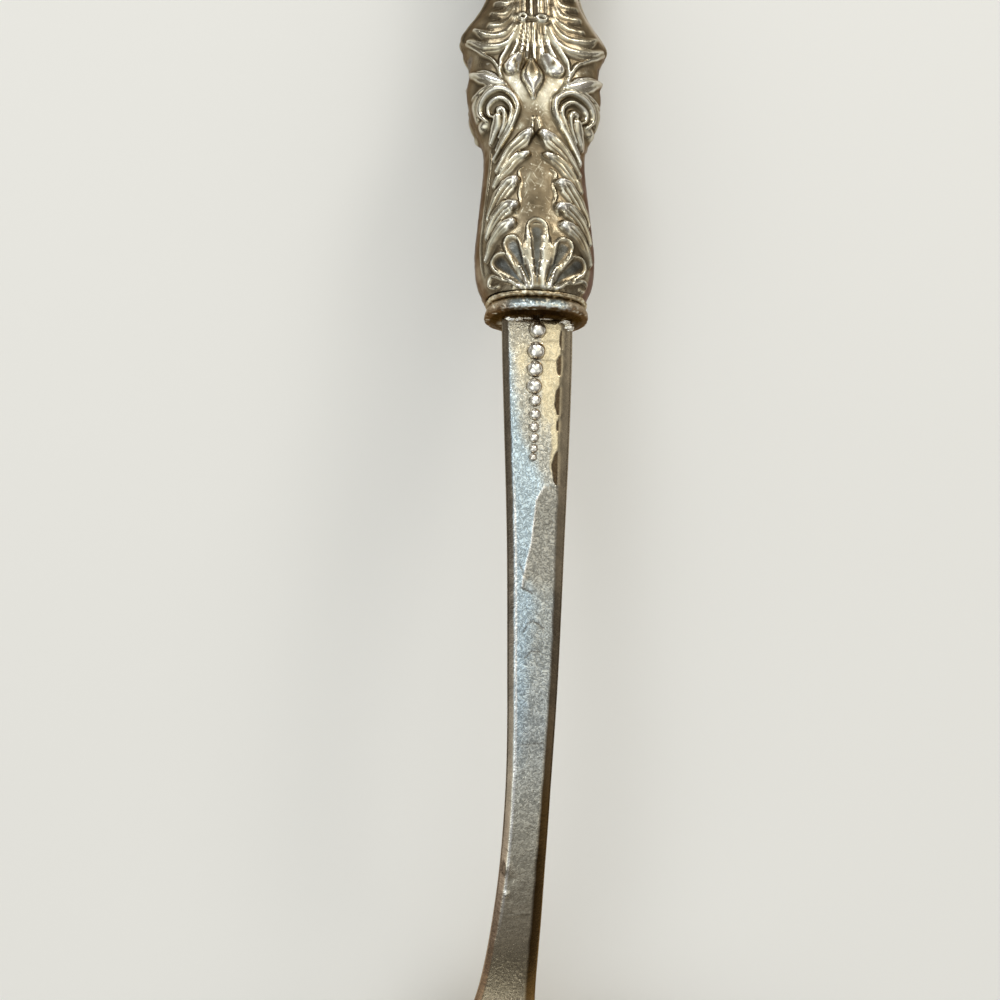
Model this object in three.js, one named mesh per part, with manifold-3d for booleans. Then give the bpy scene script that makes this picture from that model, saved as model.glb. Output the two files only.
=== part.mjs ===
// Serving ladle with a hollow handle, lying on a table on its bowl and on the end of its handle.
// Millimetres, +Z up, +Y from the bowl to the handle's end. The front of the handle faces up.
//
// The ladle is drawn about its handle's axis, with the bottom of the ferrule at the origin, +Y along the handle
// and +Z out of its front. The finished ladle is then turned until bowl and handle touch the table.

import * as THREE from 'three';
import { mergeVertices } from 'three/addons/utils/BufferGeometryUtils.js';
import Module from 'manifold-3d';

const wasm = await Module();
wasm.setup();

// Fits
const CLEARANCE = 0.3;
const SEAM_GAP = 0.2;

// Handle: half widths and half depths of its outline, and how far up the handle they lie
const HANDLE_LENGTH = 100;
const SHELL_WALL = 0.8;
const MOUTH_HALF_WIDTH = 7.8;
const MOUTH_HALF_DEPTH = 6.1;
const BASE_HALF_WIDTH = 9.2;
const BASE_HALF_DEPTH = 6.6;
const BASE_AT = 6;
const WAIST_HALF_WIDTH = 8;
const WAIST_HALF_DEPTH = 5.6;
const WAIST_AT = 21.8;
const SCROLL_HALF_WIDTH = 10.8;
const SCROLL_HALF_DEPTH = 6;
const SCROLL_AT = 33.7;
const SHOULDER_HALF_WIDTH = 11.7;
const SHOULDER_HALF_DEPTH = 5.8;
const SHOULDER_AT = 42.5;
const NECK_HALF_WIDTH = 7.5;
const NECK_HALF_DEPTH = 5;
const NECK_AT = 53;
const END_HALF_WIDTH = 12.4;
const END_HALF_DEPTH = 5.6;
const END_ROUND = 14;

// Ferrule: a torus and a lip on an oval spigot that fills the handle's mouth
const FERRULE_HEIGHT = 3.3;
const FERRULE_HALF_WIDTH = 7.9;
const FERRULE_HALF_DEPTH = 6.2;
const TORUS_HEIGHT = 2.4;
const TORUS_BULGE = 0.7;
const FERRULE_UNDERCUT = 1.2;
const LIP_MARGIN = 0.25;
const LIP_HEIGHT = 0.5;
const GROOVE_HEIGHT = 0.3;
const SPIGOT_LENGTH = 4;

// Stem: a flat-fronted bar that leaves the ferrule in a gentle bend, arches back and hugs the bowl with its heel
const STEM_WIDTH = 10.7;
const STEM_NECK_WIDTH = 6.5;
const STEM_RIM_WIDTH = 14;
const HEEL_WIDTH = 8;
const STEM_THICKNESS = 4.6;
const HEEL_THICKNESS = 2.4;
const STEM_BEVEL = 1.15;
const STEM_BEVEL_DEPTH = 0.6;
const STEM_BACK_BEVEL = 1.7;
const GENTLE_RADIUS = 330;
const GENTLE_LENGTH = 56;
const ARCH_RADIUS = 86;
const ARCH_LENGTH = 56;
const TURN_RADIUS = 45;
const TURN_LENGTH = 14;
const HEEL_LENGTH = 15;
const NECK_SHARE = 0.59;
const TAPER_POWER = 1.25;
const FLARE_POWER = 2.25;

// Tang: the end of the stem that runs up inside the handle
const TANG_LENGTH = 54;
const TANG_WIDTH = 5.6;
const TANG_TIP_WIDTH = 3.6;
const TANG_THICKNESS = 3;
const TANG_BEVEL = 0.5;

// Beads: a row that dwindles down the front of the stem
const BEAD_COUNT = 10;
const BEAD_FIRST_RADIUS = 1.24;
const BEAD_LAST_RADIUS = 0.56;
const BEAD_FIRST_AT = 1.8;
const BEAD_SPACE = 0.4;

// Bowl: a spherical dish with a rolled rim
const BOWL_RIM_RADIUS = 38;
const BOWL_DEPTH = 29;
const BOWL_WALL = 1.3;
const RIM_ROLL = 0.5;
const RIM_HEIGHT = 2.2;
const BOWL_FLAT_DEPTH = 0.3;

// Facets
const HANDLE_SIDES = 40;
const HANDLE_ROWS = 44;
const CAVITY_SIDES = 28;
const FERRULE_ARC_STEPS = 6;
const STEM_STEP = 3;
const BOWL_SIDES = 48;
const BOWL_STEPS = 14;
const BEAD_SIDES = 12;
const OVAL_POWER = 2.3;

const silver = new THREE.MeshStandardMaterial({ color: 0xb9b09a, roughness: 0.32, metalness: 1 });
const struckSilver = new THREE.MeshStandardMaterial({ color: 0xb0a080, roughness: 0.38, metalness: 1 });
const cement = new THREE.MeshStandardMaterial({ color: 0x5a4a38, roughness: 0.95, metalness: 0 });

// Solid tools

function solidOf(geometry) {
  const plain = geometry.clone();
  plain.deleteAttribute('normal');
  plain.deleteAttribute('uv');
  const merged = mergeVertices(plain, 1e-5);
  const vertProperties = new Float32Array(merged.attributes.position.array);
  const triVerts = new Uint32Array(merged.index.array);
  return new wasm.Manifold(new wasm.Mesh({ numProp: 3, vertProperties, triVerts }));
}

function geometryOf(solid) {
  const { vertProperties, triVerts } = solid.getMesh();
  const geometry = new THREE.BufferGeometry();
  geometry.setAttribute('position', new THREE.BufferAttribute(vertProperties, 3));
  geometry.setIndex(new THREE.BufferAttribute(triVerts, 1));
  geometry.computeVertexNormals();
  return geometry;
}

// Skins a row of rings, each a closed loop of as many points, and closes both ends with a fan.
// The rings turn anticlockwise seen from the side that the row comes from.
function loft(rings) {
  const sides = rings[0].length;
  const points = rings.flat();
  const triangles = [];
  for (let row = 0; row + 1 < rings.length; row += 1) {
    for (let side = 0; side < sides; side += 1) {
      const next = (side + 1) % sides;
      const a = row * sides + side;
      const b = row * sides + next;
      triangles.push(a, a + sides, b, b, a + sides, b + sides);
    }
  }
  for (const [row, flip] of [[0, true], [rings.length - 1, false]]) {
    const middle = points.length;
    const ring = rings[row];
    points.push(ring.reduce((sum, p) => sum.add(p), new THREE.Vector3()).divideScalar(sides));
    for (let side = 0; side < sides; side += 1) {
      const a = row * sides + side;
      const b = row * sides + (side + 1) % sides;
      triangles.push(middle, flip ? a : b, flip ? b : a);
    }
  }
  const geometry = new THREE.BufferGeometry().setFromPoints(points);
  geometry.setIndex(triangles);
  return geometry;
}

// A closed oval across the handle's axis, fuller than an ellipse
function ovalRing(halfWidth, halfDepth, along, sides) {
  return Array.from({ length: sides }, (_, side) => {
    const angle = (2 * Math.PI * side) / sides;
    const round = (value) => Math.sign(value) * Math.abs(value) ** (2 / OVAL_POWER);
    return new THREE.Vector3(halfWidth * round(Math.cos(angle)), along, halfDepth * round(Math.sin(angle)));
  });
}

// Handle

const HANDLE_FROM = FERRULE_HEIGHT + CLEARANCE;
const endAt = HANDLE_LENGTH - END_ROUND;

// One station of the outline: its half width, half depth and place above the handle's mouth
const station = (halfWidth, halfDepth, at) => new THREE.Vector3(halfWidth, halfDepth, HANDLE_FROM + at);

// The round end is a quarter of an oval from the widest station to the tip
const roundEnd = [0.35, 0.65, 0.85, 0.97, 1].map((share) => {
  const left = Math.sqrt(1 - (share * 0.999) ** 2);
  return station(END_HALF_WIDTH * left, END_HALF_DEPTH * left, endAt + END_ROUND * share);
});

const outline = new THREE.CatmullRomCurve3([
  station(MOUTH_HALF_WIDTH, MOUTH_HALF_DEPTH, 0),
  station(BASE_HALF_WIDTH, BASE_HALF_DEPTH, BASE_AT),
  station(WAIST_HALF_WIDTH, WAIST_HALF_DEPTH, WAIST_AT),
  station(SCROLL_HALF_WIDTH, SCROLL_HALF_DEPTH, SCROLL_AT),
  station(SHOULDER_HALF_WIDTH, SHOULDER_HALF_DEPTH, SHOULDER_AT),
  station(NECK_HALF_WIDTH, NECK_HALF_DEPTH, NECK_AT),
  station(END_HALF_WIDTH, END_HALF_DEPTH, endAt),
  ...roundEnd,
]).getSpacedPoints(HANDLE_ROWS);

const handleSolid = solidOf(loft(outline.map((row) => ovalRing(row.x, row.y, row.z, HANDLE_SIDES))));

// The inside of the handle, drawn in from the outline by a margin. It leaves a full wall at the tip.
function insideRings(margin, from) {
  const inside = outline.filter((row) => row.y > 2 * margin + 1 && row.z > from);
  const first = inside[0];
  return [
    ovalRing(first.x - margin, first.y - margin, from, CAVITY_SIDES),
    ...inside.map((row) => ovalRing(row.x - margin, row.y - margin, row.z, CAVITY_SIDES)),
  ];
}

const cavity = solidOf(loft(insideRings(SHELL_WALL, HANDLE_FROM - SHELL_WALL)));
const hollowHandle = handleSolid.subtract(cavity);

// Everything in front of the seam, or behind it
function halfSpace(side) {
  const reach = 4 * HANDLE_LENGTH;
  const box = new THREE.BoxGeometry(reach, reach, reach);
  box.translate(0, 0, side * (reach / 2 + SEAM_GAP / 2));
  return solidOf(box);
}

const frontShell = hollowHandle.intersect(halfSpace(1));
const backShell = hollowHandle.intersect(halfSpace(-1));

// Stem

// The path of the stem's middle, as round stretches that follow each other. A positive radius turns the path back,
// away from the front, and a negative one turns it forward.
const bowlRadius = (BOWL_RIM_RADIUS ** 2 + BOWL_DEPTH ** 2) / (2 * BOWL_DEPTH);
const heelRadius = bowlRadius + RIM_ROLL + CLEARANCE + HEEL_THICKNESS / 2;
const stretches = [
  { length: GENTLE_LENGTH, radius: GENTLE_RADIUS },
  { length: ARCH_LENGTH, radius: ARCH_RADIUS },
  { length: TURN_LENGTH, radius: TURN_RADIUS },
  { length: HEEL_LENGTH, radius: -heelRadius },
];
const RIM_RUN = GENTLE_LENGTH + ARCH_LENGTH + TURN_LENGTH;
const STEM_RUN = RIM_RUN + HEEL_LENGTH;

// Where the stem's middle is after a run from the ferrule, and how far it has turned back
function stemPlace(run) {
  const place = { y: 0, z: 0, turn: 0 };
  let left = run;
  for (const { length, radius } of stretches) {
    const step = Math.min(left, length);
    const half = step / radius / 2;
    const chord = half === 0 ? 0 : (step * Math.sin(half)) / half;
    place.y -= chord * Math.cos(place.turn + half);
    place.z -= chord * Math.sin(place.turn + half);
    place.turn += 2 * half;
    left -= step;
  }
  return place;
}

const mix = THREE.MathUtils.lerp;
const smooth = THREE.MathUtils.smoothstep;

// The stem tapers to its neck, flares to the rim and narrows again down the heel
function stemWidth(run) {
  const neckRun = NECK_SHARE * RIM_RUN;
  if (run < neckRun) return mix(STEM_NECK_WIDTH, STEM_WIDTH, (1 - run / neckRun) ** TAPER_POWER);
  if (run < RIM_RUN) {
    const flare = (run - neckRun) / (RIM_RUN - neckRun);
    return mix(STEM_NECK_WIDTH, STEM_RIM_WIDTH, flare ** FLARE_POWER);
  }
  return mix(STEM_RIM_WIDTH, HEEL_WIDTH, smooth(run, RIM_RUN, STEM_RUN));
}

const stemThickness = (run) => mix(STEM_THICKNESS, HEEL_THICKNESS, smooth(run, 0, RIM_RUN));

// Eight corners of the stem's section: a flat front with bevelled edges, sides that draw in, and a flat back
function barRing(place, width, thickness, bevel, bevelDepth, backBevel) {
  const half = width / 2;
  const front = thickness / 2;
  const corners = [
    [half - bevel, front],
    [half, front - bevelDepth],
    [half - backBevel / 3, -front + backBevel / 2],
    [half - backBevel, -front],
  ];
  const all = [...corners, ...corners.map(([x, z]) => [-x, z]).reverse()];
  const { y, z, turn } = place;
  return all.map(([x, out]) => new THREE.Vector3(x, y - out * Math.sin(turn), z + out * Math.cos(turn)));
}

function stemRing(run) {
  return barRing(stemPlace(run), stemWidth(run), stemThickness(run), STEM_BEVEL, STEM_BEVEL_DEPTH, STEM_BACK_BEVEL);
}

function tangRing(at, width, thickness) {
  return barRing({ y: at, z: 0, turn: 0 }, width, thickness, TANG_BEVEL, TANG_BEVEL, TANG_BEVEL);
}

// The tang, or its socket with a margin all round
function tangRings(margin) {
  const grow = 2 * margin;
  return [
    tangRing(TANG_LENGTH + margin, TANG_TIP_WIDTH + grow, TANG_THICKNESS + grow),
    tangRing(-CLEARANCE, TANG_WIDTH + grow, TANG_THICKNESS + grow),
  ];
}

const stemRows = Math.round(STEM_RUN / STEM_STEP);
const stemRings = Array.from({ length: stemRows + 1 }, (_, row) =>
  stemRing(CLEARANCE + ((STEM_RUN - CLEARANCE) * row) / stemRows));
const bar = solidOf(loft([...tangRings(0), ...stemRings]));

// Beads follow each other down the front with an even space between them
function beadRow() {
  const beads = [];
  let run = BEAD_FIRST_AT;
  let last = 0;
  for (let bead = 0; bead < BEAD_COUNT; bead += 1) {
    const radius = mix(BEAD_FIRST_RADIUS, BEAD_LAST_RADIUS, bead / (BEAD_COUNT - 1));
    run += bead === 0 ? 0 : last + BEAD_SPACE + radius;
    const { y, z, turn } = stemPlace(run);
    const out = stemThickness(run) / 2;
    const ball = new THREE.SphereGeometry(radius, BEAD_SIDES, BEAD_SIDES / 2);
    ball.rotateX(Math.PI / 2);
    ball.translate(0, y - out * Math.sin(turn), z + out * Math.cos(turn));
    beads.push(solidOf(ball));
    last = radius;
  }
  return beads;
}

// Bowl

// The heel lies along the bowl's wall, so the bowl's centre is square to the stem where it passes the rim
const rimPlace = stemPlace(RIM_RUN);
const rimAngle = Math.acos((bowlRadius - BOWL_DEPTH) / bowlRadius);
const bowlCentre = new THREE.Vector3(
  0,
  rimPlace.y - heelRadius * Math.sin(rimPlace.turn),
  rimPlace.z + heelRadius * Math.cos(rimPlace.turn),
);
// Direction of the bowl's open side, as an angle from the handle's axis towards its front
const bowlOpens = rimPlace.turn + Math.PI / 2 - rimAngle;

// A quarter section of the bowl's wall, from the pole to the rim, as radius and height below the centre
function bowlArc(radius, to) {
  return Array.from({ length: BOWL_STEPS + 1 }, (_, step) => {
    const angle = (to * step) / BOWL_STEPS;
    return new THREE.Vector2(radius * Math.sin(angle), -radius * Math.cos(angle));
  });
}

const rimTop = BOWL_DEPTH - bowlRadius;
const rimFoot = Math.acos((-rimTop + RIM_HEIGHT) / bowlRadius);
const outerArc = bowlArc(bowlRadius, rimFoot);
const innerArc = bowlArc(bowlRadius - BOWL_WALL, Math.acos(-rimTop / (bowlRadius - BOWL_WALL)));
const rimRadius = BOWL_RIM_RADIUS + RIM_ROLL;
const roll = [
  new THREE.Vector2(rimRadius, rimTop - RIM_HEIGHT * 0.65),
  new THREE.Vector2(rimRadius, rimTop - RIM_HEIGHT * 0.25),
  new THREE.Vector2(rimRadius - RIM_ROLL, rimTop),
];

function placeBowl(geometry) {
  geometry.rotateX(bowlOpens);
  geometry.translate(bowlCentre.x, bowlCentre.y, bowlCentre.z);
  return geometry;
}

const dish = placeBowl(new THREE.LatheGeometry([...outerArc, ...roll, ...innerArc.reverse()], BOWL_SIDES));

// The space that the bowl fills, with the clearance that the heel keeps from it
const seatTop = rimTop + CLEARANCE;
const seatProfile = [
  ...bowlArc(bowlRadius + RIM_ROLL + CLEARANCE, rimFoot),
  new THREE.Vector2(rimRadius + CLEARANCE, rimTop - RIM_HEIGHT),
  new THREE.Vector2(rimRadius + CLEARANCE, seatTop),
  new THREE.Vector2(0, seatTop),
];
const seat = placeBowl(new THREE.LatheGeometry(seatProfile, BOWL_SIDES));

const stemSolid = beadRow().reduce((solid, bead) => solid.add(bead), bar).subtract(solidOf(seat));

// How the ladle lies

// The table touches the bowl's round and the back of the handle: the lowest of the lines from one to the other
const restRadius = bowlRadius - BOWL_FLAT_DEPTH;
const restTurn = Math.min(...outline.map((row) => {
  const along = row.z - bowlCentre.y;
  const up = -row.y - bowlCentre.z;
  return Math.atan2(up, along) + Math.asin(restRadius / Math.hypot(along, up));
}));

// The bowl is planished flat where it stands
function underTable() {
  const reach = 4 * bowlRadius;
  const box = new THREE.BoxGeometry(reach, reach, reach);
  box.translate(0, 0, -restRadius - reach / 2);
  box.rotateX(restTurn);
  box.translate(bowlCentre.x, bowlCentre.y, bowlCentre.z);
  return solidOf(box);
}

const bowlSolid = solidOf(dish).subtract(underTable());

// Ferrule

const groove = FERRULE_HEIGHT - LIP_HEIGHT - GROOVE_HEIGHT;
const torusMiddle = groove - TORUS_HEIGHT / 2;
const torus = Array.from({ length: FERRULE_ARC_STEPS + 1 }, (_, step) => {
  const angle = Math.PI * (step / FERRULE_ARC_STEPS - 0.5);
  return [TORUS_BULGE * (1 - Math.cos(angle)), torusMiddle + (TORUS_HEIGHT / 2) * Math.sin(angle)];
});
const spigotMargin = SHELL_WALL + CLEARANCE;
// How far each row is drawn in from the ferrule's widest oval, and its height
const ferruleRows = [
  [FERRULE_UNDERCUT, 0],
  ...torus,
  [TORUS_BULGE, groove + GROOVE_HEIGHT / 2],
  [LIP_MARGIN, groove + GROOVE_HEIGHT],
  [LIP_MARGIN, FERRULE_HEIGHT],
];
const spigotTop = FERRULE_HEIGHT + SPIGOT_LENGTH;
const spigotRing = (at) =>
  ovalRing(MOUTH_HALF_WIDTH - spigotMargin, MOUTH_HALF_DEPTH - spigotMargin, at, HANDLE_SIDES);
const ferruleRings = [
  ...ferruleRows.map(([margin, at]) =>
    ovalRing(FERRULE_HALF_WIDTH - margin, FERRULE_HALF_DEPTH - margin, at, HANDLE_SIDES)),
  spigotRing(FERRULE_HEIGHT),
  spigotRing(spigotTop),
];
const socket = solidOf(loft(tangRings(CLEARANCE)));
const ferruleSolid = solidOf(loft(ferruleRings)).subtract(socket);

// Filler

const fillerMargin = SHELL_WALL + CLEARANCE;
const fillerSolid = solidOf(loft(insideRings(fillerMargin, spigotTop + CLEARANCE))).subtract(socket);

// The ladle

function piece(name, solid, material) {
  const mesh = new THREE.Mesh(geometryOf(solid), material);
  mesh.name = name;
  return mesh;
}

const ladle = new THREE.Group();
ladle.add(
  piece('handle_front_shell', frontShell, struckSilver),
  piece('handle_back_shell', backShell, struckSilver),
  piece('handle_filler', fillerSolid, cement),
  piece('ferrule_collar', ferruleSolid, silver),
  piece('stem', stemSolid, silver),
  piece('bowl', bowlSolid, silver),
);
ladle.rotation.x = -restTurn;

// The origin is on the table, under the middle of the ladle
const lying = new THREE.Box3().setFromObject(ladle, true);
const middle = lying.getCenter(new THREE.Vector3());
ladle.position.set(-middle.x, -middle.y, -lying.min.z);

const part = new THREE.Group();
part.add(ladle);

export default part;
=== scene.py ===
"""A worn silver-plate serving ladle: struck hollow handle, moulded ferrule, beaded stem and raised bowl.

Lengths are in millimetres about the handle's axis until a piece is laid on the table: x across, y up the
handle from the ferrule's underside, z out of the decorated front. LIE turns that into the frame's metres.
"""
import math

import bmesh
import bpy
import numpy as np
from mathutils import Matrix, Vector, noise


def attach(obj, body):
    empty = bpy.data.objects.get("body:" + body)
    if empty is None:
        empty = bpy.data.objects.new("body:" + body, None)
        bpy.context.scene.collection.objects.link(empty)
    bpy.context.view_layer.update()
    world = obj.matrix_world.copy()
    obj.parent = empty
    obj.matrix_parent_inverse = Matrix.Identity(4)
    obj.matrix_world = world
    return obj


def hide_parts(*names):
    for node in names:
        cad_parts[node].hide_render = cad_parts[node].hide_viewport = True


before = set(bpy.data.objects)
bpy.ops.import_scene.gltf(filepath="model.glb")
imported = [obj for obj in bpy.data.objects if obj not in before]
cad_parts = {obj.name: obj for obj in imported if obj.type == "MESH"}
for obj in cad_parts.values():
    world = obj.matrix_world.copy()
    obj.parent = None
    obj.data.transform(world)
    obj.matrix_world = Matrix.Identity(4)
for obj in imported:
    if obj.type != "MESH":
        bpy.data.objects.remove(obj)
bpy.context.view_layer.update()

# How the ladle lies on the table
LIE_TURN = math.radians(-13.7657)
LIE_SHIFT = Vector((0, 45.1856, 27.6798))
LIE = Matrix.Scale(0.001, 4) @ Matrix.Translation(LIE_SHIFT) @ Matrix.Rotation(LIE_TURN, 4, "X")

# Handle: its ends, its walls, and the half widths and half depths of its outline
HANDLE_FROM = 3.36
HANDLE_END = 103.6
END_FROM = 89.6
SHELL_WALL = 0.7
INNER_END = 102.3
# How many times finer the ornate outside is than the plain inside
INNER_STEP = 7
# The ornament is drawn finer below this height
FINE_TO = 57.0
OVAL_POWER = 2.3
HALF_WIDTHS = [
    (3.4, 7.75), (5.5, 8.7), (9.6, 9.25), (15.4, 8.85), (22, 8.2), (25.4, 7.95), (28.2, 8.1), (30.4, 8.9),
    (32.2, 9.65), (35.6, 10.45), (37.3, 10.7), (40.8, 10.35), (42.6, 10.4), (44.3, 11.1), (46.1, 11.55),
    (47.8, 10.7), (49.6, 9.5), (51.4, 8.4), (53.2, 7.6), (55, 7.2), (60, 6.9), (67, 7.5), (76, 9.7),
    (84, 11.7), (89.6, 12.2), (103.6, 12.2),
]
HALF_DEPTHS = [
    (3.4, 5.9), (9.6, 6.3), (25.4, 5.4), (37.3, 5.7), (46.1, 5.6), (56.6, 4.9), (75, 5.1), (89.6, 5.4),
    (103.6, 5.4),
]
# How far the front's pattern was struck off the middle
PATTERN_SHIFTS = [
    (3.4, -0.75), (12, -0.9), (29, -0.75), (32, -0.85), (37, -1.5), (47, -1.45), (60, -1.4), (80, 0),
    (103.6, 0),
]
# How far the pattern strays from its drawing, across and along, and how quickly
STRAY_ACROSS = 0.16
STRAY_ALONG = 0.2
STRAY_RATE = 0.4
# The groove beside each raised line, and the height under which a place still counts as ground
GROOVE = 0.4
GROOVE_DEPTH = 0.15
LOW_GROUND = 0.15
# Leaf blades: how far the crest lies towards the upper edge, the lines down the flank, and the fuller head
CREST_LEAN = 0.35
BLADE_LINES = 2
BLADE_LINE_DEPTH = 0.42
BLADE_LINE_STEP = 0.45
BLADE_HEAD = 0.5
LEAF_CREASE = 0.35
# How often the relief is evened out, to wear its edges soft, and the dents of long use
WORN = 2
DENT = 0.045
DENT_RATE = 0.9
# Plain band beside the seam: its reach on the right and the left, and where it fades up the handle
PLAIN_RIGHT = 3.5
PLAIN_LEFT = 1.9
PLAIN_FADE = (24, 30)

# Stem: lengths and radii of its bends, and its width along the run from the ferrule
STEM_RADII = [(56, 330), (56, 86), (14, 45)]
HEEL_LENGTH = 15
STEM_WIDTHS = [
    (0, 10.6), (6, 10.35), (12.3, 9.95), (18.3, 9.5), (27, 8.8), (33, 8.35), (42, 7.85), (48, 7.55),
    (53.5, 7.25), (59, 6.9), (68, 6.5), (76, 6.5), (84, 6.75), (91.4, 7.3), (99.6, 8.05), (106.7, 9.0),
    (116, 11.2), (126, 14), (134, 12), (141, 8),
]
STEM_THICKNESS = 4.6
HEEL_THICKNESS = 2.4
# Seam between heel and bowl, and how near the bowl the heel's metal is drawn down onto it
HEEL_SEAM = 0.05
HEEL_REACH = 1.7
LEFT_BEVEL = 1.05
RIGHT_BEVELS = [
    (0, 1.9), (10, 2.05), (35, 1.65), (50, 1.6), (71, 1.75), (87, 1.95), (112, 2.0), (141, 1.15),
]
BEVEL_WANDER = 0.14
LEFT_SPREAD = 0.08
RIGHT_SPREAD = 0.34
BEVEL_DEPTH = 0.6
BACK_BEVEL = 1.7
TANG_LENGTH = 54
TANG_WIDTH = 5.6
TANG_TIP_WIDTH = 3.6
TANG_THICKNESS = 3
# Rings of the stem: how far down the close ones reach, how many they are, and how many follow
STEM_FROM = 0.05
CLOSE_TO = 112
CLOSE_RINGS = 560
HEEL_FROM = 112.4
HEEL_RINGS = 70
# Steps of each side of the stem's section, from the front's left corner round by the right
SECTION_STEPS = [56, 8, 6, 4, 10, 4, 6, 7]
# Beads down the stem's front: how far across, how far down, and their radius
BEADS = [
    (0.0, 1.65, 1.2), (-0.2, 4.9, 1.24), (-0.4, 7.7, 1.13), (-0.5, 10.3, 1.07), (-0.35, 12.5, 0.84),
    (-0.4, 14.6, 0.81), (-0.5, 16.45, 0.71), (-0.5, 18.1, 0.68), (-0.55, 19.7, 0.6), (-0.65, 21.0, 0.56),
]
BEAD_SWELL = 1.15
BEAD_SINK = 0.1

# Bowl
BOWL_RIM_RADIUS = 38
BOWL_DEPTH = 29
BOWL_WALL = 1.3
RIM_ROLL = 0.5
RIM_ROLL_HEIGHT = 1.0
RIM_HEIGHT = 2.2
SEAT_GAP = 0.3
WALL_STEPS = 48
ROLL_STEPS = 16
BOWL_SPIN_STEPS = 160

# Ferrule: margins are measured in from its half width and half depth
FERRULE_HALF_WIDTH = 7.9
FERRULE_HALF_DEPTH = 6.2
FERRULE_SHIFT = 0.22
FERRULE_STEPS = 256
BAND_FROM = 0.47
BAND_HEIGHT = 1.96
BAND_MARGIN = 0.8
# How strongly the band's fullest part hangs below its middle
BAND_DROOP = 2.2
LIP_MARGIN = 0.5
LIP_BULGE = 0.36
LIP_MIDDLE = 2.95
LIP_HALF_HEIGHT = 0.4
UNDERSIDE = [(2.6, 0.0), (1.75, 0.0), (1.5, 0.06), (0.9, 0.4)]
LIP_GROOVE = (0.72, 2.5)
FERRULE_TOP = (0.6, 3.34)
# Spigot inside the handle and bore for the tang: half widths, half depths and heights
SPIGOT_RINGS = [(6.5, 4.8, 3.4), (6.5, 4.8, 7.2), (3.3, 2.0, 7.2), (3.3, 2.0, 0.0)]

# The camera, about the handle's axis
EYE = Vector((-31.321, -60.276, 167.116))
LOOK = Vector((0.1512, 0.1908, -0.9699))
CAMERA_UP = Vector((-0.0318, 0.9816, 0.1882))
CAMERA_LENS = 42.12
CAMERA_SENSOR = 36


# Drawing aids


def through(points):
    """A smooth curve of one value over another, through the points."""
    at, value = np.array(points, float).T
    slope = np.gradient(value, at)

    def curve(where):
        where = np.clip(where, at[0], at[-1])
        k = np.clip(np.searchsorted(at, where) - 1, 0, len(at) - 2)
        step = at[k + 1] - at[k]
        t = (where - at[k]) / step
        rise = t * t * (3 - 2 * t)
        lean_in = t * (1 - t) ** 2 * step * slope[k]
        lean_out = t * t * (t - 1) * step * slope[k + 1]
        return value[k] + rise * (value[k + 1] - value[k]) + lean_in + lean_out

    return curve


def straight(points):
    """One value over another, in straight lines between the points."""
    at, value = np.array(points, float).T
    return lambda where: np.interp(where, at, value)


def spaced(along, values):
    """Values spread evenly along a line, from 0 to 1."""
    return np.interp(along, np.linspace(0, 1, len(values)), values)


def smooth_line(path, steps=8):
    """Closely spaced points on a smooth line through the path."""
    path = np.array(path, float)
    knots = np.arange(len(path))
    fine = np.linspace(0, len(path) - 1, steps * (len(path) - 1) + 1)
    return np.stack([through(np.stack([knots, path[:, k]], 1))(fine) for k in (0, 1)], 1)


def off_leg(x, y, start, end):
    """How far along a leg each place lies, how far off it, across and up, and on which side."""
    leg = end - start
    from_x, from_y = x - start[0], y - start[1]
    t = np.clip((from_x * leg[0] + from_y * leg[1]) / (leg @ leg), 0, 1)
    return t, from_x - t * leg[0], from_y - t * leg[1], np.sign(leg[0] * from_y - leg[1] * from_x)


def step_up(value, low, high):
    """0 below low, 1 above high and an eased rise between them."""
    t = np.clip((value - low) / (high - low), 0, 1)
    return t * t * (3 - 2 * t)


def step_down(value, low, high):
    return 1 - step_up(value, low, high)


def between(value, rise, fall):
    """1 from the end of the rise to the start of the fall, and 0 outside them."""
    return step_up(value, *rise) * step_down(value, *fall)


def bell(value, middle, width):
    """1 in the middle, dying away over the width to either side."""
    return np.exp(-((value - middle) / width) ** 2)


def waver(u, v, seed):
    """Smooth unevenness of a net, from about -1 to 1."""
    return np.array([[noise.noise((a, b, seed)) for a, b in zip(*row)] for row in zip(u, v)])


def blurred(values, passes):
    """Values of a net, evened out with their neighbours."""
    for _ in range(passes):
        wide = np.pad(values, 1, mode="edge")
        values = (wide[:-2, 1:-1] + wide[2:, 1:-1] + wide[1:-1, :-2] + wide[1:-1, 2:] + 2 * values) / 6
    return values


def tint_line(stops):
    """A tint that changes along a value."""
    at = [place for place, _ in stops]
    channels = np.array([tint for _, tint in stops]).T
    return lambda where: np.stack([np.interp(where, at, channel) for channel in channels], -1)


def laid_over(colour, share, tint):
    """Colours of a net with a tint laid over them by its share."""
    return colour + share[..., None] * (np.asarray(tint) - colour)


def tinted(colour, zones):
    """Opaque colours of a net: a base, with each zone's tint laid over it by its share."""
    for share, tint in zones:
        colour = laid_over(colour, share, tint)
    return np.concatenate([colour, np.ones(colour.shape[:-1] + (1,))], axis=-1)


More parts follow.
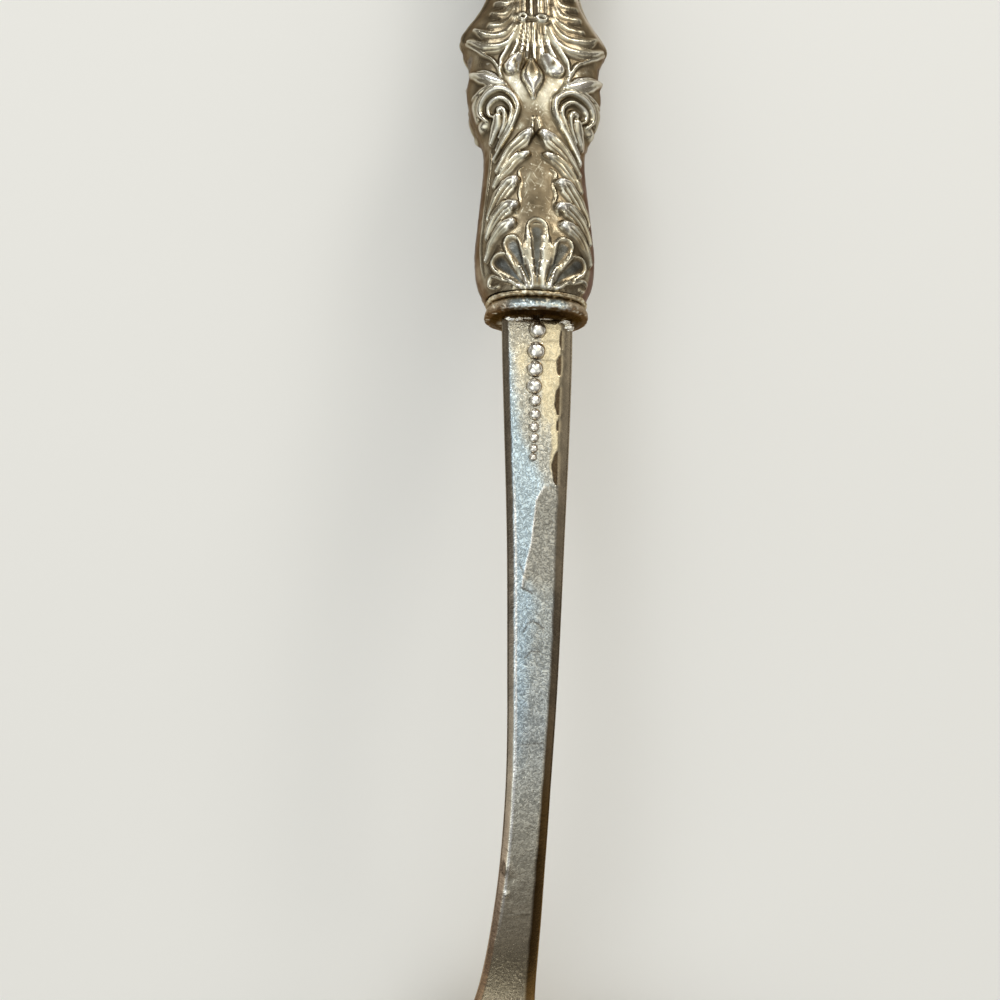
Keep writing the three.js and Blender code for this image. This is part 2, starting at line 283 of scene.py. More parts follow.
def net_mesh(net, closed=False, marks=None):
    """A grid bent onto a net of points, rows by columns. A closed net is welded into a tube.

    marks are named values or colours for each point of the net, kept on the vertices.
    """
    rows, columns = net.shape[0] - 1, net.shape[1] - 1
    bm = bmesh.new()
    bmesh.ops.create_grid(bm, x_segments=columns, y_segments=rows, size=1)
    layers = {}
    for name, values in (marks or {}).items():
        kinds = bm.verts.layers.float if values.ndim == 2 else bm.verts.layers.float_color
        layers[name] = kinds.new(name)
    for vertex in bm.verts:
        column = round((vertex.co.x + 1) / 2 * columns)
        row = round((vertex.co.y + 1) / 2 * rows)
        vertex.co = net[row, column]
        for name, layer in layers.items():
            vertex[layer] = marks[name][row, column]
    if closed:
        bmesh.ops.remove_doubles(bm, verts=bm.verts, dist=1e-4)
    return bm


def as_mesh(bm, name):
    """What was drawn, as a mesh for an object."""
    mesh = bpy.data.meshes.new(name)
    bm.to_mesh(mesh)
    bm.free()
    return mesh


def in_scene(name, data):
    """A new object of the scene."""
    made = bpy.data.objects.new(name, data)
    bpy.context.collection.objects.link(made)
    return made


def finished(bm, name, material, sharp=None, replaces=None):
    """Lays a mesh on the table as a piece of the ladle, with edges past the sharp angle left crisp."""
    bmesh.ops.transform(bm, matrix=LIE, verts=bm.verts)
    mesh = as_mesh(bm, name)
    mesh.shade_smooth()
    if sharp:
        mesh.set_sharp_from_angle(angle=math.radians(sharp))
    mesh.materials.append(material)
    piece = in_scene(name, mesh)
    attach(piece, "root")
    if replaces:
        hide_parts(replaces)
    return piece


# Finishes


class Nodes:
    """Shader nodes of a finish or of the room, and the sums and patterns made with them."""

    def __init__(self, tree):
        self.tree = tree

    def put(self, socket, value):
        """Links an output to a socket, or sets a plain value on it."""
        if isinstance(value, bpy.types.NodeSocket):
            self.tree.links.new(value, socket)
        else:
            socket.default_value = value

    def node(self, kind, settings=None, **sockets):
        """A node with its settings and its sockets, which are named, or numbered after an underscore."""
        made = self.tree.nodes.new("ShaderNode" + kind)
        for name, value in (settings or {}).items():
            setattr(made, name, value)
        for name, value in sockets.items():
            key = int(name[1:]) if name[0] == "_" else name.replace("_", " ")
            self.put(made.inputs[key], value)
        return made

    def maths(self, operation, first, second=0.0):
        return self.node("Math", {"operation": operation}, _0=first, _1=second).outputs[0]

    def add(self, first, second):
        return self.maths("ADD", first, second)

    def less(self, first, second):
        return self.maths("SUBTRACT", first, second)

    def times(self, first, second):
        return self.maths("MULTIPLY", first, second)

    def vectors(self, operation, **sockets):
        return self.node("VectorMath", {"operation": operation}, **sockets).outputs[0]

    def spread(self, value, source, target):
        """A value's range turned into another range."""
        return self.node("MapRange", Value=value, From_Min=source[0], From_Max=source[1], To_Min=target[0],
                         To_Max=target[1]).outputs[0]

    def ramp(self, value, stops):
        """Colours along a value."""
        made = self.node("ValToRGB", Fac=value)
        elements = made.color_ramp.elements
        while len(elements) < len(stops):
            elements.new(0.5)
        for element, (place, colour) in zip(elements, stops):
            element.position = place
            element.color = (*colour, 1)
        return made.outputs[0]

    def blend(self, factor, *colours):
        """The first colour turning into the second with the factor."""
        mix = self.node("Mix", {"data_type": "RGBA"}, Factor=factor)
        for socket, colour in zip(mix.inputs[6:8], colours):
            self.put(socket, colour if isinstance(colour, bpy.types.NodeSocket) else (*colour, 1))
        return mix.outputs[2]


class Finish(Nodes):
    """A material with its shader and the place on the piece."""

    def __init__(self, name, metallic=1):
        self.material = bpy.data.materials.new(name)
        self.material.use_nodes = True
        super().__init__(self.material.node_tree)
        self.shader = self.tree.nodes["Principled BSDF"]
        self.place = self.node("TexCoord").outputs["Object"]
        self.give(Metallic=metallic)

    def give(self, **sockets):
        """Sets or links the shader's own sockets."""
        for name, value in sockets.items():
            self.put(self.shader.inputs[name.replace("_", " ")], value)

    def mark(self, name, kind="Fac"):
        """What the piece's vertices were marked with."""
        return self.node("Attribute", {"attribute_name": name}).outputs[kind]

    def speckle(self, scale, detail=3, roughness=0.5, distortion=0, place=None):
        """Soft noise from 0 to 1."""
        return self.node("TexNoise", Vector=place or self.place, Scale=scale, Detail=detail,
                         Roughness=roughness, Distortion=distortion).outputs[0]

    def scratches(self, turn, thinness, scale, rare):
        """Thin scratches in one direction: 1 on a scratch and 0 beside it."""
        drawn = self.node("Mapping", {"vector_type": "TEXTURE"}, Vector=self.place, Rotation=turn,
                          Scale=(thinness, 1, 1)).outputs[0]
        return self.spread(self.speckle(scale, detail=1, place=drawn), (rare, rare + 0.06), (0, 1))

    def bump(self, height, strength, distance):
        self.give(Normal=self.node("Bump", Height=height, Strength=strength, Distance=distance).outputs[0])


def struck_silver():
    """Bright on the raised edges, brown in the hollows, matte on the plain ground, with painted highlights
    and shade, a painted bluish reflection in the shell and painted shade on the plain band by the seam.
    """
    silver = Finish("struck_silver")
    ground = silver.mark("ground")
    mottle = silver.speckle(scale=700, detail=4)
    scuffs = silver.less(silver.speckle(scale=1100, detail=5, roughness=0.7), 0.5)
    patches = silver.less(silver.speckle(scale=260, detail=2), 0.5)
    level = silver.add(silver.mark("hollow"), silver.times(silver.less(mottle, 0.5), 0.3))
    level = silver.add(level, silver.times(scuffs, silver.times(ground, 0.5)))
    level = silver.add(level, silver.times(patches, 0.8))
    for slant in (0.6, -0.5, 1.3):
        scratch = silver.scratches(turn=(0, 0, slant), thinness=0.1, scale=420, rare=0.66)
        level = silver.less(level, silver.times(scratch, silver.times(ground, 0.25)))
    specks = silver.spread(silver.speckle(scale=2300, detail=0), (0.73, 0.77), (0, 0.45))
    level = silver.less(level, silver.times(specks, ground))
    tarnish_and_painted_light = silver.ramp(silver.spread(level, (-1, 1), (0, 1)), [
        (0.05, (0.96, 0.94, 0.88)),
        (0.22, (0.78, 0.75, 0.64)),
        (0.38, (0.46, 0.42, 0.315)),
        (0.50, (0.225, 0.181, 0.117)),
        (0.64, (0.125, 0.1, 0.063)),
        (0.85, (0.06, 0.045, 0.026)),
    ])
    # Painted dark bluish reflection in the shell's hollow fingers.
    painted_shell_reflection = silver.ramp(mottle, [(0.38, (0.07, 0.07, 0.06)), (0.62, (0.15, 0.16, 0.155))])
    colour = silver.blend(silver.mark("shell_reflection"), tarnish_and_painted_light, painted_shell_reflection)
    # Painted shade: the plain band beside the seam is darkened, most on the handle's right half.
    shaded = silver.ramp(silver.mark("band"), [
        (0, (1, 1, 1)),
        (0.5, (0.86, 0.77, 0.74)),
        (1, (0.52, 0.42, 0.5)),
    ])
    rough = silver.add(silver.spread(level, (-0.4, 0.7), (0.11, 0.42)),
                       silver.times(silver.speckle(scale=2600, detail=2), 0.08))
    silver.give(Base_Color=silver.vectors("MULTIPLY", _0=colour, _1=shaded),
                Roughness=silver.add(rough, silver.times(ground, 0.16)),
                Specular_Tint=(0.6, 0.5, 0.44, 1))
    grain = silver.add(silver.speckle(scale=3200, detail=3, roughness=0.6), silver.times(scuffs, 0.8))
    silver.bump(grain, strength=0.3, distance=0.0001)
    return silver.material


def plated_silver():
    """Smooth plate with a fine grain, soft scratches and duller patches."""
    silver = Finish("plated_silver")
    patches = silver.speckle(scale=160, detail=5, roughness=0.6)
    dull = silver.spread(patches, (0.42, 0.62), (0, 1))
    colour = silver.blend(dull, (0.82, 0.79, 0.72), (0.72, 0.67, 0.58))
    rough = silver.add(silver.spread(patches, (0.35, 0.65), (0.16, 0.28)),
                       silver.times(silver.speckle(scale=1800, detail=2), 0.1))
    grain = silver.speckle(scale=3600, detail=3, roughness=0.6)
    for slant in (0.3, -0.7, 1.2):
        scratch = silver.scratches(turn=(slant, slant, slant), thinness=0.05, scale=120, rare=0.64)
        rough = silver.add(rough, silver.times(scratch, 0.09))
        grain = silver.less(grain, silver.times(scratch, 0.5))
    silver.give(Base_Color=colour, Roughness=rough)
    silver.bump(grain, strength=0.2, distance=0.00006)
    return silver.material


def worn_silver():
    """Cast and handled plate in each place's tint, with painted shade, reflections and highlights among the
    tints: a crinkled grain with darker pits, dull where bare.
    """
    silver = Finish("worn_silver")
    rugged = silver.mark("rugged")
    patches = silver.speckle(scale=260, detail=4, roughness=0.6)
    pits = silver.speckle(scale=3000, detail=3, roughness=0.6)
    crinkle = silver.maths("ABSOLUTE", silver.less(silver.speckle(scale=1600, detail=1, distortion=1), 0.5))
    uneven = silver.add(silver.spread(crinkle, (0, 0.13), (-0.46, 0.28)),
                        silver.spread(pits, (0.35, 0.65), (-0.13, 0.13)))
    shade = silver.times(silver.add(silver.times(uneven, rugged), 1),
                         silver.spread(patches, (0.35, 0.65), (0.9, 1.12)))
    rough = silver.add(silver.spread(pits, (0.35, 0.65), (0.3, 0.2)), silver.times(silver.mark("bare"), 0.14))
    silver.give(Base_Color=silver.vectors("SCALE", _0=silver.mark("tint", "Color"), Scale=shade),
                Roughness=rough,
                Specular_Tint=(0.64, 0.55, 0.46, 1))
    relief = silver.times(silver.add(crinkle, silver.times(pits, 0.2)), rugged)
    silver.bump(relief, strength=0.65, distance=0.0002)
    return silver.material


def cement():
    """Rough brown filling inside the handle."""
    filling = Finish("cement", metallic=0)
    lumps = filling.speckle(scale=900, detail=5, roughness=0.6)
    filling.give(Base_Color=filling.ramp(lumps, [(0.3, (0.09, 0.07, 0.05)), (0.7, (0.3, 0.24, 0.17))]),
                 Roughness=0.95)
    filling.bump(lumps, strength=0.5, distance=0.0004)
    return filling.material


def floor_paint():
    """Plain pale floor with the faintest mottle."""
    paint = Finish("floor_paint", metallic=0)
    mottle = paint.ramp(paint.speckle(scale=3), [(0.3, (0.87, 0.865, 0.85)), (0.7, (0.89, 0.885, 0.87))])
    paint.give(Base_Color=mottle, Roughness=0.7)
    return paint.material


# Handle


half_width_line = through(HALF_WIDTHS)
half_depth_line = through(HALF_DEPTHS)
pattern_shift = through(PATTERN_SHIFTS)


def round_end(y):
    """How far the outline has closed towards the handle's tip, from 1 to nearly 0."""
    share = np.clip((y - END_FROM) / (HANDLE_END - END_FROM), 0, 0.9997)
    return np.sqrt(1 - share ** 2)


def round_top(q):
    """A half-round section."""
    return np.sqrt(np.clip(1 - q * q, 0, 1))


def soft_top(q):
    """A low swelling that dies away at its edges."""
    return np.clip(1 - q * q, 0, 1) ** 2


def groove(gap, half):
    """Depth of the fine groove beside a line."""
    return GROOVE_DEPTH * np.sin(math.pi * np.clip((gap - half) / GROOVE, 0, 1))


class Relief:
    """Ornament struck into half of the handle: its height, its darker and brighter marks with painted light
    among them, the painted bluish reflection in its hollow fingers and the plain ground between.

    x is the distance from the middle of the pattern, and edge the distance from the seam round the surface.
    """

    def __init__(self, x, y, edge):
        self.x, self.y, self.edge = x, y, edge
        self.height = np.zeros(x.shape)
        self.stain_and_light = np.zeros(x.shape)
        self.shell_reflection = np.zeros(x.shape)
        self.ground = between(y, (13, 15), (42, 44))

    def nearest(self, path, reach):
        """Where a smooth line comes within reach: the distance from it, how far along, and on which side."""
        line = smooth_line(path)
        low, high = line.min(0) - reach, line.max(0) + reach
        where = (self.x > low[0]) & (self.x < high[0]) & (self.y > low[1]) & (self.y < high[1])
        x, y = self.x[where], self.y[where]
        gap = np.full(x.shape, np.inf)
        along, side = np.zeros(x.shape), np.ones(x.shape)
        for k, (start, end) in enumerate(zip(line, line[1:])):
            t, off_x, off_y, turn = off_leg(x, y, start, end)
            distance = np.hypot(off_x, off_y)
            closer = distance < gap
            gap[closer] = distance[closer]
            along[closer] = (k + t[closer]) / (len(line) - 1)
            side[closer] = turn[closer]
        return where, gap, along, side

    def raise_line(self, where, gap, half, raised, sunk):
        """Raises a line's inside over what is below it, and clears the ground under it and its groove."""
        self.height[where] = np.where(gap < half, np.maximum(self.height[where], raised), sunk)
        self.ground[where] = np.where(gap < half + GROOVE, 0, self.ground[where])

    def stroke(self, path, widths, rise, top=round_top, crease=0.0):
        """A raised line whose half width changes along it, in a fine groove, with creases down its tail."""
        where, gap, along, _ = self.nearest(path, max(widths) + GROOVE)
        half = spaced(along, widths)
        share = gap / half
        creases = 1 - crease * step_up(along, 0.1, 0.5) * bell(share, 0.5, 0.16)
        below = self.height[where]
        sunk = np.where(below < LOW_GROUND, np.minimum(below, -groove(gap, half)), below)
        self.raise_line(where, gap, half, rise * top(share) * creases, sunk)

    def leaf(self, path, widths, rise):
        self.stroke(path, widths, rise, crease=LEAF_CREASE)

    def blade(self, path, widths, rise):
        """A broad lobe with a round head, its crest along one edge and fine lines down its other flank."""
        where, gap, along, side = self.nearest(path, max(widths) + GROOVE)
        half = spaced(along, widths)
        lean = CREST_LEAN * step_up(along, 0.05, 0.3)
        off_crest = np.clip(gap / half, 0, 1) * side - lean
        body = round_top(np.where(off_crest > 0, off_crest / (1 - lean), off_crest / (1 + lean)))
        for k in range(BLADE_LINES):
            line = bell(off_crest, -BLADE_LINE_STEP * (k + 1), 0.12)
            body -= BLADE_LINE_DEPTH * line * step_up(along, 0.1, 0.35)
        head = 1 + BLADE_HEAD * step_down(along, 0, 0.45)
        self.raise_line(where, gap, half, rise * head * body, self.height[where] - groove(gap, half))
        # The blade is darker down its body, and its head gets a painted highlight.
        self.stain_and_light[where] += np.where(gap < half, 0.13 * step_up(along, 0.2, 0.6), 0)
        self.darken_or_lighten(*path[0], 1.1, 0.9, -0.4)

    def spoon(self, path, widths, depth, rim):
        """A hollow finger inside a soft rim."""
        where, gap, along, _ = self.nearest(path, max(widths) + 1.2)
        half = spaced(along, widths)
        lip = rim * bell(gap - half, 0.25, 0.42)
        inside = np.clip(1 - (gap / half) ** 2, 0, 1) ** 1.5
        self.height[where] = np.where(gap < half, lip - depth * inside, np.maximum(self.height[where], lip))
        # Painted dark bluish reflection inside the finger.
        self.shell_reflection[where] = np.maximum(self.shell_reflection[where], 0.9 * step_up(inside, 0.0, 0.8))

    def darken_or_lighten(self, across, up, wide, tall, amount):
        """A darker place, or with less than nothing a brighter one."""
        away = np.hypot((self.x - across) / wide, (self.y - up) / tall)
        self.stain_and_light += amount * np.exp(-away ** 2)


def scallop_shell(relief):
    """Shell that rises from the ferrule: its swelling, fingers, root ribs and the rims round it."""
    relief.stroke([(0, 3.0), (0, 7.0), (0, 11.0)], [7.0, 6.0, 3.4], 0.35, soft_top)
    for path, widths in (
        ([(2.2, 4.1), (4.1, 6.0), (5.8, 7.7)], [0.12, 0.6, 1.0]),
        ([(1.25, 4.7), (2.5, 7.5), (3.75, 10.0)], [0.12, 0.62, 1.05]),
        ([(0, 4.5), (0, 8.3), (0.1, 12.3)], [0.12, 0.64, 1.0]),
    ):
        relief.spoon(path, widths, depth=0.6, rim=0.16)
    for path in (
        [(0.7, 3.2), (0.95, 5.5), (1.25, 7.6)],
        [(1.5, 3.2), (2.0, 5.2), (2.7, 7.0)],
        [(2.5, 3.3), (3.6, 4.3), (4.9, 5.1)],
    ):
        relief.stroke(path, [0.24, 0.22, 0.08], 0.6)
        # A painted highlight at each rib's root.
        relief.darken_or_lighten(path[0][0] + 0.15, path[0][1] + 0.4, 0.32, 2.4, -0.5)
    relief.stroke([(0, 3.2), (0, 4.6), (0, 5.4)], [0.18, 0.16, 0.08], 0.45)
    for path in (
        [(1.1, 7.2), (1.35, 9.6), (1.55, 12.0), (1.3, 13.5), (0.65, 14.3), (0, 14.5)],
        [(2.1, 7.2), (2.5, 9.2), (2.8, 10.6), (3.6, 11.6), (4.7, 11.4), (5.1, 10.2), (4.5, 8.4), (3.4, 6.5)],
        [(3.6, 6.6), (4.5, 8.1), (5.4, 9.05), (6.5, 8.9), (7.1, 7.9), (6.7, 6.7), (5.3, 5.3)],
        [(3.6, 4.2), (5.2, 4.9), (6.5, 5.7), (7.3, 5.5), (7.4, 4.6), (6.7, 4.1), (6.0, 4.3)],
    ):
        relief.stroke(path, [0.1, 0.18, 0.2, 0.2, 0.2, 0.18, 0.1], 0.34)


def acanthus_leaves(relief):
    """Leaves that curl in towards the plain oval field, lobe over lobe, and the field's fine border."""
    for path, widths, rise in (
        ([(3.9, 13.7), (5.3, 13.0), (6.7, 11.2), (7.8, 8.2)], [0.7, 1.0, 0.75, 0.2], 0.75),
        ([(3.4, 16.5), (4.7, 16.2), (6.2, 14.6), (7.6, 11.4)], [0.8, 1.35, 1.1, 0.2], 0.95),
        ([(3.4, 20.7), (4.5, 19.9), (5.9, 17.8), (7.4, 14.4)], [0.75, 1.3, 1.15, 0.2], 0.95),
        ([(1.4, 25.2), (2.8, 24.5), (4.6, 22.8), (6.4, 20.0)], [0.5, 0.95, 1.1, 0.5], 0.75),
        ([(1.1, 28.5), (2.1, 27.5), (4.0, 25.6), (5.9, 22.4)], [0.85, 1.25, 1.1, 0.5], 1.05),
    ):
        relief.blade(path, widths, rise)
    relief.stroke([(0.3, 31.3), (0.55, 29.8), (0.6, 28.3)], [0.12, 0.24, 0.12], 0.35)
    relief.stroke([(2.1, 23.0), (2.9, 22.2), (2.5, 20.4), (2.9, 18.6), (2.6, 17.2), (3.2, 15.2)],
                  [0.1, 0.16, 0.16, 0.16, 0.16, 0.1], 0.22)


def scrolls(relief):
    """Scrolls on either side of the middle, and the leaves and thread above them up to the shoulder."""
    relief.stroke([(8.4, 30.7), (9.0, 30.2)], [1.5, 1.1], 0.7, soft_top)
    relief.stroke([(8.9, 34.9), (9.6, 33.4), (9.4, 31.7)], [0.7, 0.9, 0.7], 0.6)
    relief.stroke([(6.1, 31.4), (6.3, 29.8), (6.9, 27.4)], [0.7, 0.95, 0.3], 0.8)
    relief.stroke([(6.6, 24.6), (5.0, 27.6), (3.7, 30.2), (2.9, 32.6), (3.5, 34.7), (5.3, 35.8), (7.2, 35.5),
                   (8.5, 34.2), (8.7, 32.6), (7.6, 31.2)],
                  [0.18, 0.34, 0.42, 0.5, 0.55, 0.6, 0.58, 0.5, 0.42, 0.2], 0.8)
    relief.stroke([(6.3, 26.0), (5.0, 28.7), (4.2, 30.8), (3.9, 32.6), (4.5, 33.8), (5.7, 34.3), (6.8, 34.0),
                   (7.5, 33.2), (7.4, 32.1), (6.7, 31.5)],
                  [0.14, 0.3, 0.36, 0.42, 0.46, 0.46, 0.42, 0.38, 0.3, 0.15], 0.7)
    relief.stroke([(5.8, 28.0), (5.1, 30.0), (5.0, 31.6), (5.4, 32.5), (5.9, 32.4)],
                  [0.14, 0.3, 0.42, 0.5, 0.5], 0.85)
    relief.leaf([(6.8, 36.4), (8.2, 35.9), (9.6, 35.3)], [0.5, 0.8, 0.5], 0.6)
    relief.leaf([(5.1, 36.7), (6.6, 37.3), (8.4, 38.3), (10.0, 39.3)], [0.6, 1.25, 1.2, 0.5], 0.85)
    relief.stroke([(11.0, 44.9), (8.4, 42.4), (6.6, 41.0), (5.6, 39.2), (4.9, 37.2), (3.8, 35.6),
                   (2.8, 34.2)],
                  [0.26, 0.3, 0.28, 0.24, 0.22, 0.2, 0.14], 0.45)


def shoulder_leaf(relief):
    """Leaf that sweeps out to the shoulders, lobe over lobe up the handle."""
    for k in (3, 2, 1, 0):
        rise = 2.1 * k
        draw = 0.5 * k
        path = [(2.7, 50.2 + rise), (3.4, 48.0 + rise), (5.0 - draw, 46.6 + rise), (7.2 - draw, 46.7 + rise)]
        relief.leaf(path, [0.5, 0.95, 1.2, 0.7], 0.42)
    relief.leaf([(2.5, 48.4), (3.4, 46.0), (5.4, 44.8), (7.8, 45.1), (9.6, 46.4)],
                [0.4, 0.9, 1.15, 1.0, 0.4], 0.48)
    relief.leaf([(2.2, 46.5), (3.4, 44.2), (5.5, 43.0), (8.2, 43.4), (10.6, 45.0)],
                [0.35, 0.8, 1.0, 0.9, 0.3], 0.55)


def fluted_bundle(relief):
    """Bundle of flutes, its tie with two eyelets, the fan below it, the bud and the drops beside it."""
    for across, half in ((2.15, 0.4), (1.25, 0.55), (0.0, 0.5)):
        relief.stroke([(across, 48.0), (across, 55), (across * 1.15, 66)], [half, half, 1.2 * half], 0.45)
    for path in (
        [(2.3, 47.0), (3.0, 44.6), (4.1, 42.6), (5.1, 40.8), (5.2, 39.2)],
        [(1.7, 47.0), (2.2, 44.4), (2.8, 42.4), (3.6, 41.2)],
        [(1.05, 47.0), (1.35, 44.0), (1.85, 40.8), (2.2, 38.8)],
        [(0.4, 47.0), (0.5, 43.4), (0.75, 38.9)],
    ):
        relief.stroke(path, [0.3, 0.4, 0.44, 0.2], 0.5)
    relief.stroke([(0, 47.8), (2.2, 47.9)], [0.6, 0.6], 0.4, soft_top)
    from_eyelet = np.hypot(relief.x - 1.45, relief.y - 47.9)
    ring = np.maximum(relief.height, 0.8 * round_top((from_eyelet - 0.5) / 0.4))
    relief.height = np.where(from_eyelet < 0.95, ring, relief.height)
    relief.height = np.where(from_eyelet < 0.25, -0.6, relief.height)
    relief.stroke([(0, 40.2), (0, 38.4), (0, 36.6), (0, 34.4)],
                  [0.6, 1.2, 1.65, 1.8, 1.5, 1.05, 0.6, 0.2], 1.2)
    relief.stroke([(2.2, 41.4), (3.0, 40.4), (3.5, 39.4)], [0.35, 1.0, 1.2], 1.15)


# Darker and brighter places of the ornament, painted highlights and shade among them: across, up, half width,
# half height and how much darker
# Painted shade on the bud's upper part and a painted highlight on its lower part
BUD_PAINTED_LIGHT = [(0.3, 38.8, 1.5, 1.5, 1.0), (0, 36.2, 1.0, 1.3, -0.5)]
# A painted highlight round the drop and a painted dark reflection at its middle
DROP_PAINTED_LIGHT = [(2.9, 40.3, 1.4, 1.6, -0.7), (2.9, 40.0, 0.36, 0.6, 1.6)]
# The last is a painted highlight on the leaf beside the scroll
FIELD_TONES_AND_HIGHLIGHT = [(0, 18.5, 2.6, 3.4, 0.13), (2.0, 36.4, 2.2, 3.2, -0.55), (6.6, 37.4, 1.8, 1.2, -0.5)]
SHELL_TONES = [(0, 4.4, 1.2, 1.4, 0.2), (0, 8.0, 6.0, 4.0, -0.1)]


def stains_and_painted_light(relief):
    for stain_and_light in [*BUD_PAINTED_LIGHT, *DROP_PAINTED_LIGHT, *FIELD_TONES_AND_HIGHLIGHT, *SHELL_TONES]:
        relief.darken_or_lighten(*stain_and_light)
    # The handle above about 43 mm is made darker
    relief.stain_and_light += 0.16 * step_up(relief.y, 43, 46)


def handle_end(relief):
    """Upper half of the handle: the bundle opens into leaves and a shell."""
    for k in range(5):
        rise = 3.0 * k
        path = [(2.4, 62 + rise), (3.6, 60 + rise), (4.8 + 0.35 * k, 59.6 + rise),
                (5.6 + 0.7 * k, 60.4 + rise)]
        relief.leaf(path, [0.3, 0.6, 0.85, 0.3], 0.6)
    for k in reversed(range(6)):
        angle = math.radians(15.5 * k)
        head = (9.6 * math.sin(angle) ** 0.9, 80 + 19.0 * math.cos(angle))
        root = (2.6 * math.sin(angle), 73.5 + 1.5 * math.cos(angle))
        middle = ((root[0] + head[0]) / 2, (root[1] + head[1]) / 2)
        relief.spoon([root, middle, head], [0.2, 0.7, 1.2 - 0.08 * k], depth=0.45, rim=0.5)
    relief.stroke([(0, 66), (0, 69), (0, 72.5)], [1.0, 1.7, 0.3], 0.9)


def threads(relief):
    """Clears the relief from the seam and draws the threads that follow the outline."""
    edge = relief.edge
    relief.height = relief.height * step_up(edge, 0.8, 2.4)
    upper = 0.42 * between(relief.y, (44.5, 46.5), (99, 102)) * round_top((edge - 0.75) / 0.6)
    lower = 0.2 * between(relief.y, (5, 8), (25.5, 27.5)) * round_top((edge - 2.7) / 0.4)
    relief.height = np.maximum(np.maximum(relief.height, upper), lower)


def struck_ornament(x, y, edge):
    relief = Relief(x, y, edge)
    for part in (scallop_shell, acanthus_leaves, scrolls, shoulder_leaf, fluted_bundle, stains_and_painted_light, handle_end,
                 threads):
        part(relief)
    return relief


def outline_net(rows_y, columns, inset):
    """Half of the plain outline: x, y, z and outward direction of its points, and its half width."""
    angle = np.linspace(0, math.pi, columns + 1)[None, :]
    y = np.array(rows_y)[:, None] + 0 * angle
    wide = np.maximum(half_width_line(y) * round_end(y) - inset, 0.05)
    deep = np.maximum(half_depth_line(y) * round_end(y) - inset, 0.04)
    across = np.sign(np.cos(angle)) * np.abs(np.cos(angle)) ** (2 / OVAL_POWER)
    out = np.abs(np.sin(angle)) ** (2 / OVAL_POWER)
    x, z = wide * across, deep * out
    gain = OVAL_POWER - 1
    slope_wide = np.gradient(wide[:, 0], y[:, 0])[:, None]
    slope_deep = np.gradient(deep[:, 0], y[:, 0])[:, None]
    normal = np.stack([
        np.sign(x) * np.abs(across) ** gain / wide,
        -(np.abs(across) ** OVAL_POWER * slope_wide / wide + out ** OVAL_POWER * slope_deep / deep),
        out ** gain / deep,
    ], -1)
    return x, y, z, normal / np.linalg.norm(normal, axis=-1, keepdims=True), wide


def ornate_net(rows_y, columns, side):
    """The outside of half of the handle as a net of points, and what its finish needs at each place."""
    x, y, z, normal, wide = outline_net(rows_y, columns, 0)
    steps = np.hypot(np.diff(x, axis=1), np.diff(z, axis=1))
    run = np.concatenate([np.zeros((len(rows_y), 1)), np.cumsum(steps, axis=1)], axis=1)
    edge = np.minimum(run, run[:, -1:] - run)
    reach = np.where(x > 0, PLAIN_RIGHT, PLAIN_LEFT)
    band = step_down(edge, reach, reach + 0.9) * step_down(y, *PLAIN_FADE)
    shift = pattern_shift(y) if side > 0 else 0
    across = np.abs(x - shift) * wide / (wide - np.sign(x - shift) * shift)
    across = np.abs(across + STRAY_ACROSS * waver(x * STRAY_RATE, y * STRAY_RATE, 11 * side))
    up = y + STRAY_ALONG * waver(x * STRAY_RATE, y * STRAY_RATE, 12 * side)
    relief = struck_ornament(across, up, edge)
    rise = blurred(relief.height * (1 - band * step_up(edge, 0.9, 1.5)), WORN)
    rise = rise + DENT * waver(x * DENT_RATE, y * DENT_RATE, side)
    # The ornament dies away at the seam, the mouth and the tip
    rise = rise * step_down(y, HANDLE_END - 2.5, HANDLE_END - 0.5) * step_up(edge, 0, 0.3)
    rise = rise * step_up(y, HANDLE_FROM - 0.2, HANDLE_FROM + 0.6)
    net = np.stack([x, y, z], -1) + normal * rise[..., None]
    net[..., 2] *= side
    # The handle is made brighter along a strip above its right shoulder
    bright_strip = between(y, (45.5, 47.5), (58, 64)) * bell(edge, 2.6, 1.5) * (x > 0)
    polish = 0.28 * np.clip(blurred(rise, 6) / 0.55, 0, 1)
    hollow = np.clip((blurred(rise, 16) - rise) * 2.5 - polish, -0.5, 0.8)
    return net, {
        # Darker and brighter marks, painted highlights and shade among them, are added to the patina
        # darkening the hollows.
        "hollow": np.clip(hollow + relief.stain_and_light - 0.9 * bright_strip, -1, 1),
        # Painted shade on the plain band beside the seam, full on the right half and half as strong on the
        # left.
        "band": band * np.where(x > 0, 1, 0.5),
        "shell_reflection": relief.shell_reflection,
        "ground": blurred(relief.ground, 2) * step_up(edge, 4.0, 5.0),
    }


def handle_shell(side, fine_rows, end_rows, around):
    """A struck half of the handle: its ornate outside, its plain inside, and the edges between them."""
    rows_y = np.concatenate([
        np.linspace(HANDLE_FROM, FINE_TO, fine_rows * INNER_STEP + 1),
        np.linspace(FINE_TO, HANDLE_END, end_rows * INNER_STEP + 1)[1:],
    ])
    net, marks = ornate_net(rows_y, around * INNER_STEP, side)
    bm = net_mesh(net, marks=marks)
    inner_rows = np.interp(rows_y[::INNER_STEP], [HANDLE_FROM, HANDLE_END], [HANDLE_FROM, INNER_END])
    x, y, z, _, _ = outline_net(inner_rows, around, SHELL_WALL)
    plain = as_mesh(net_mesh(np.stack([x, y, z * side], -1)), "inside")
    bm.from_mesh(plain)
    bpy.data.meshes.remove(plain)
    bmesh.ops.bridge_loops(bm, edges=[edge for edge in bm.edges if edge.is_boundary])
    bmesh.ops.recalc_face_normals(bm, faces=bm.faces)
    return bm


# Stem


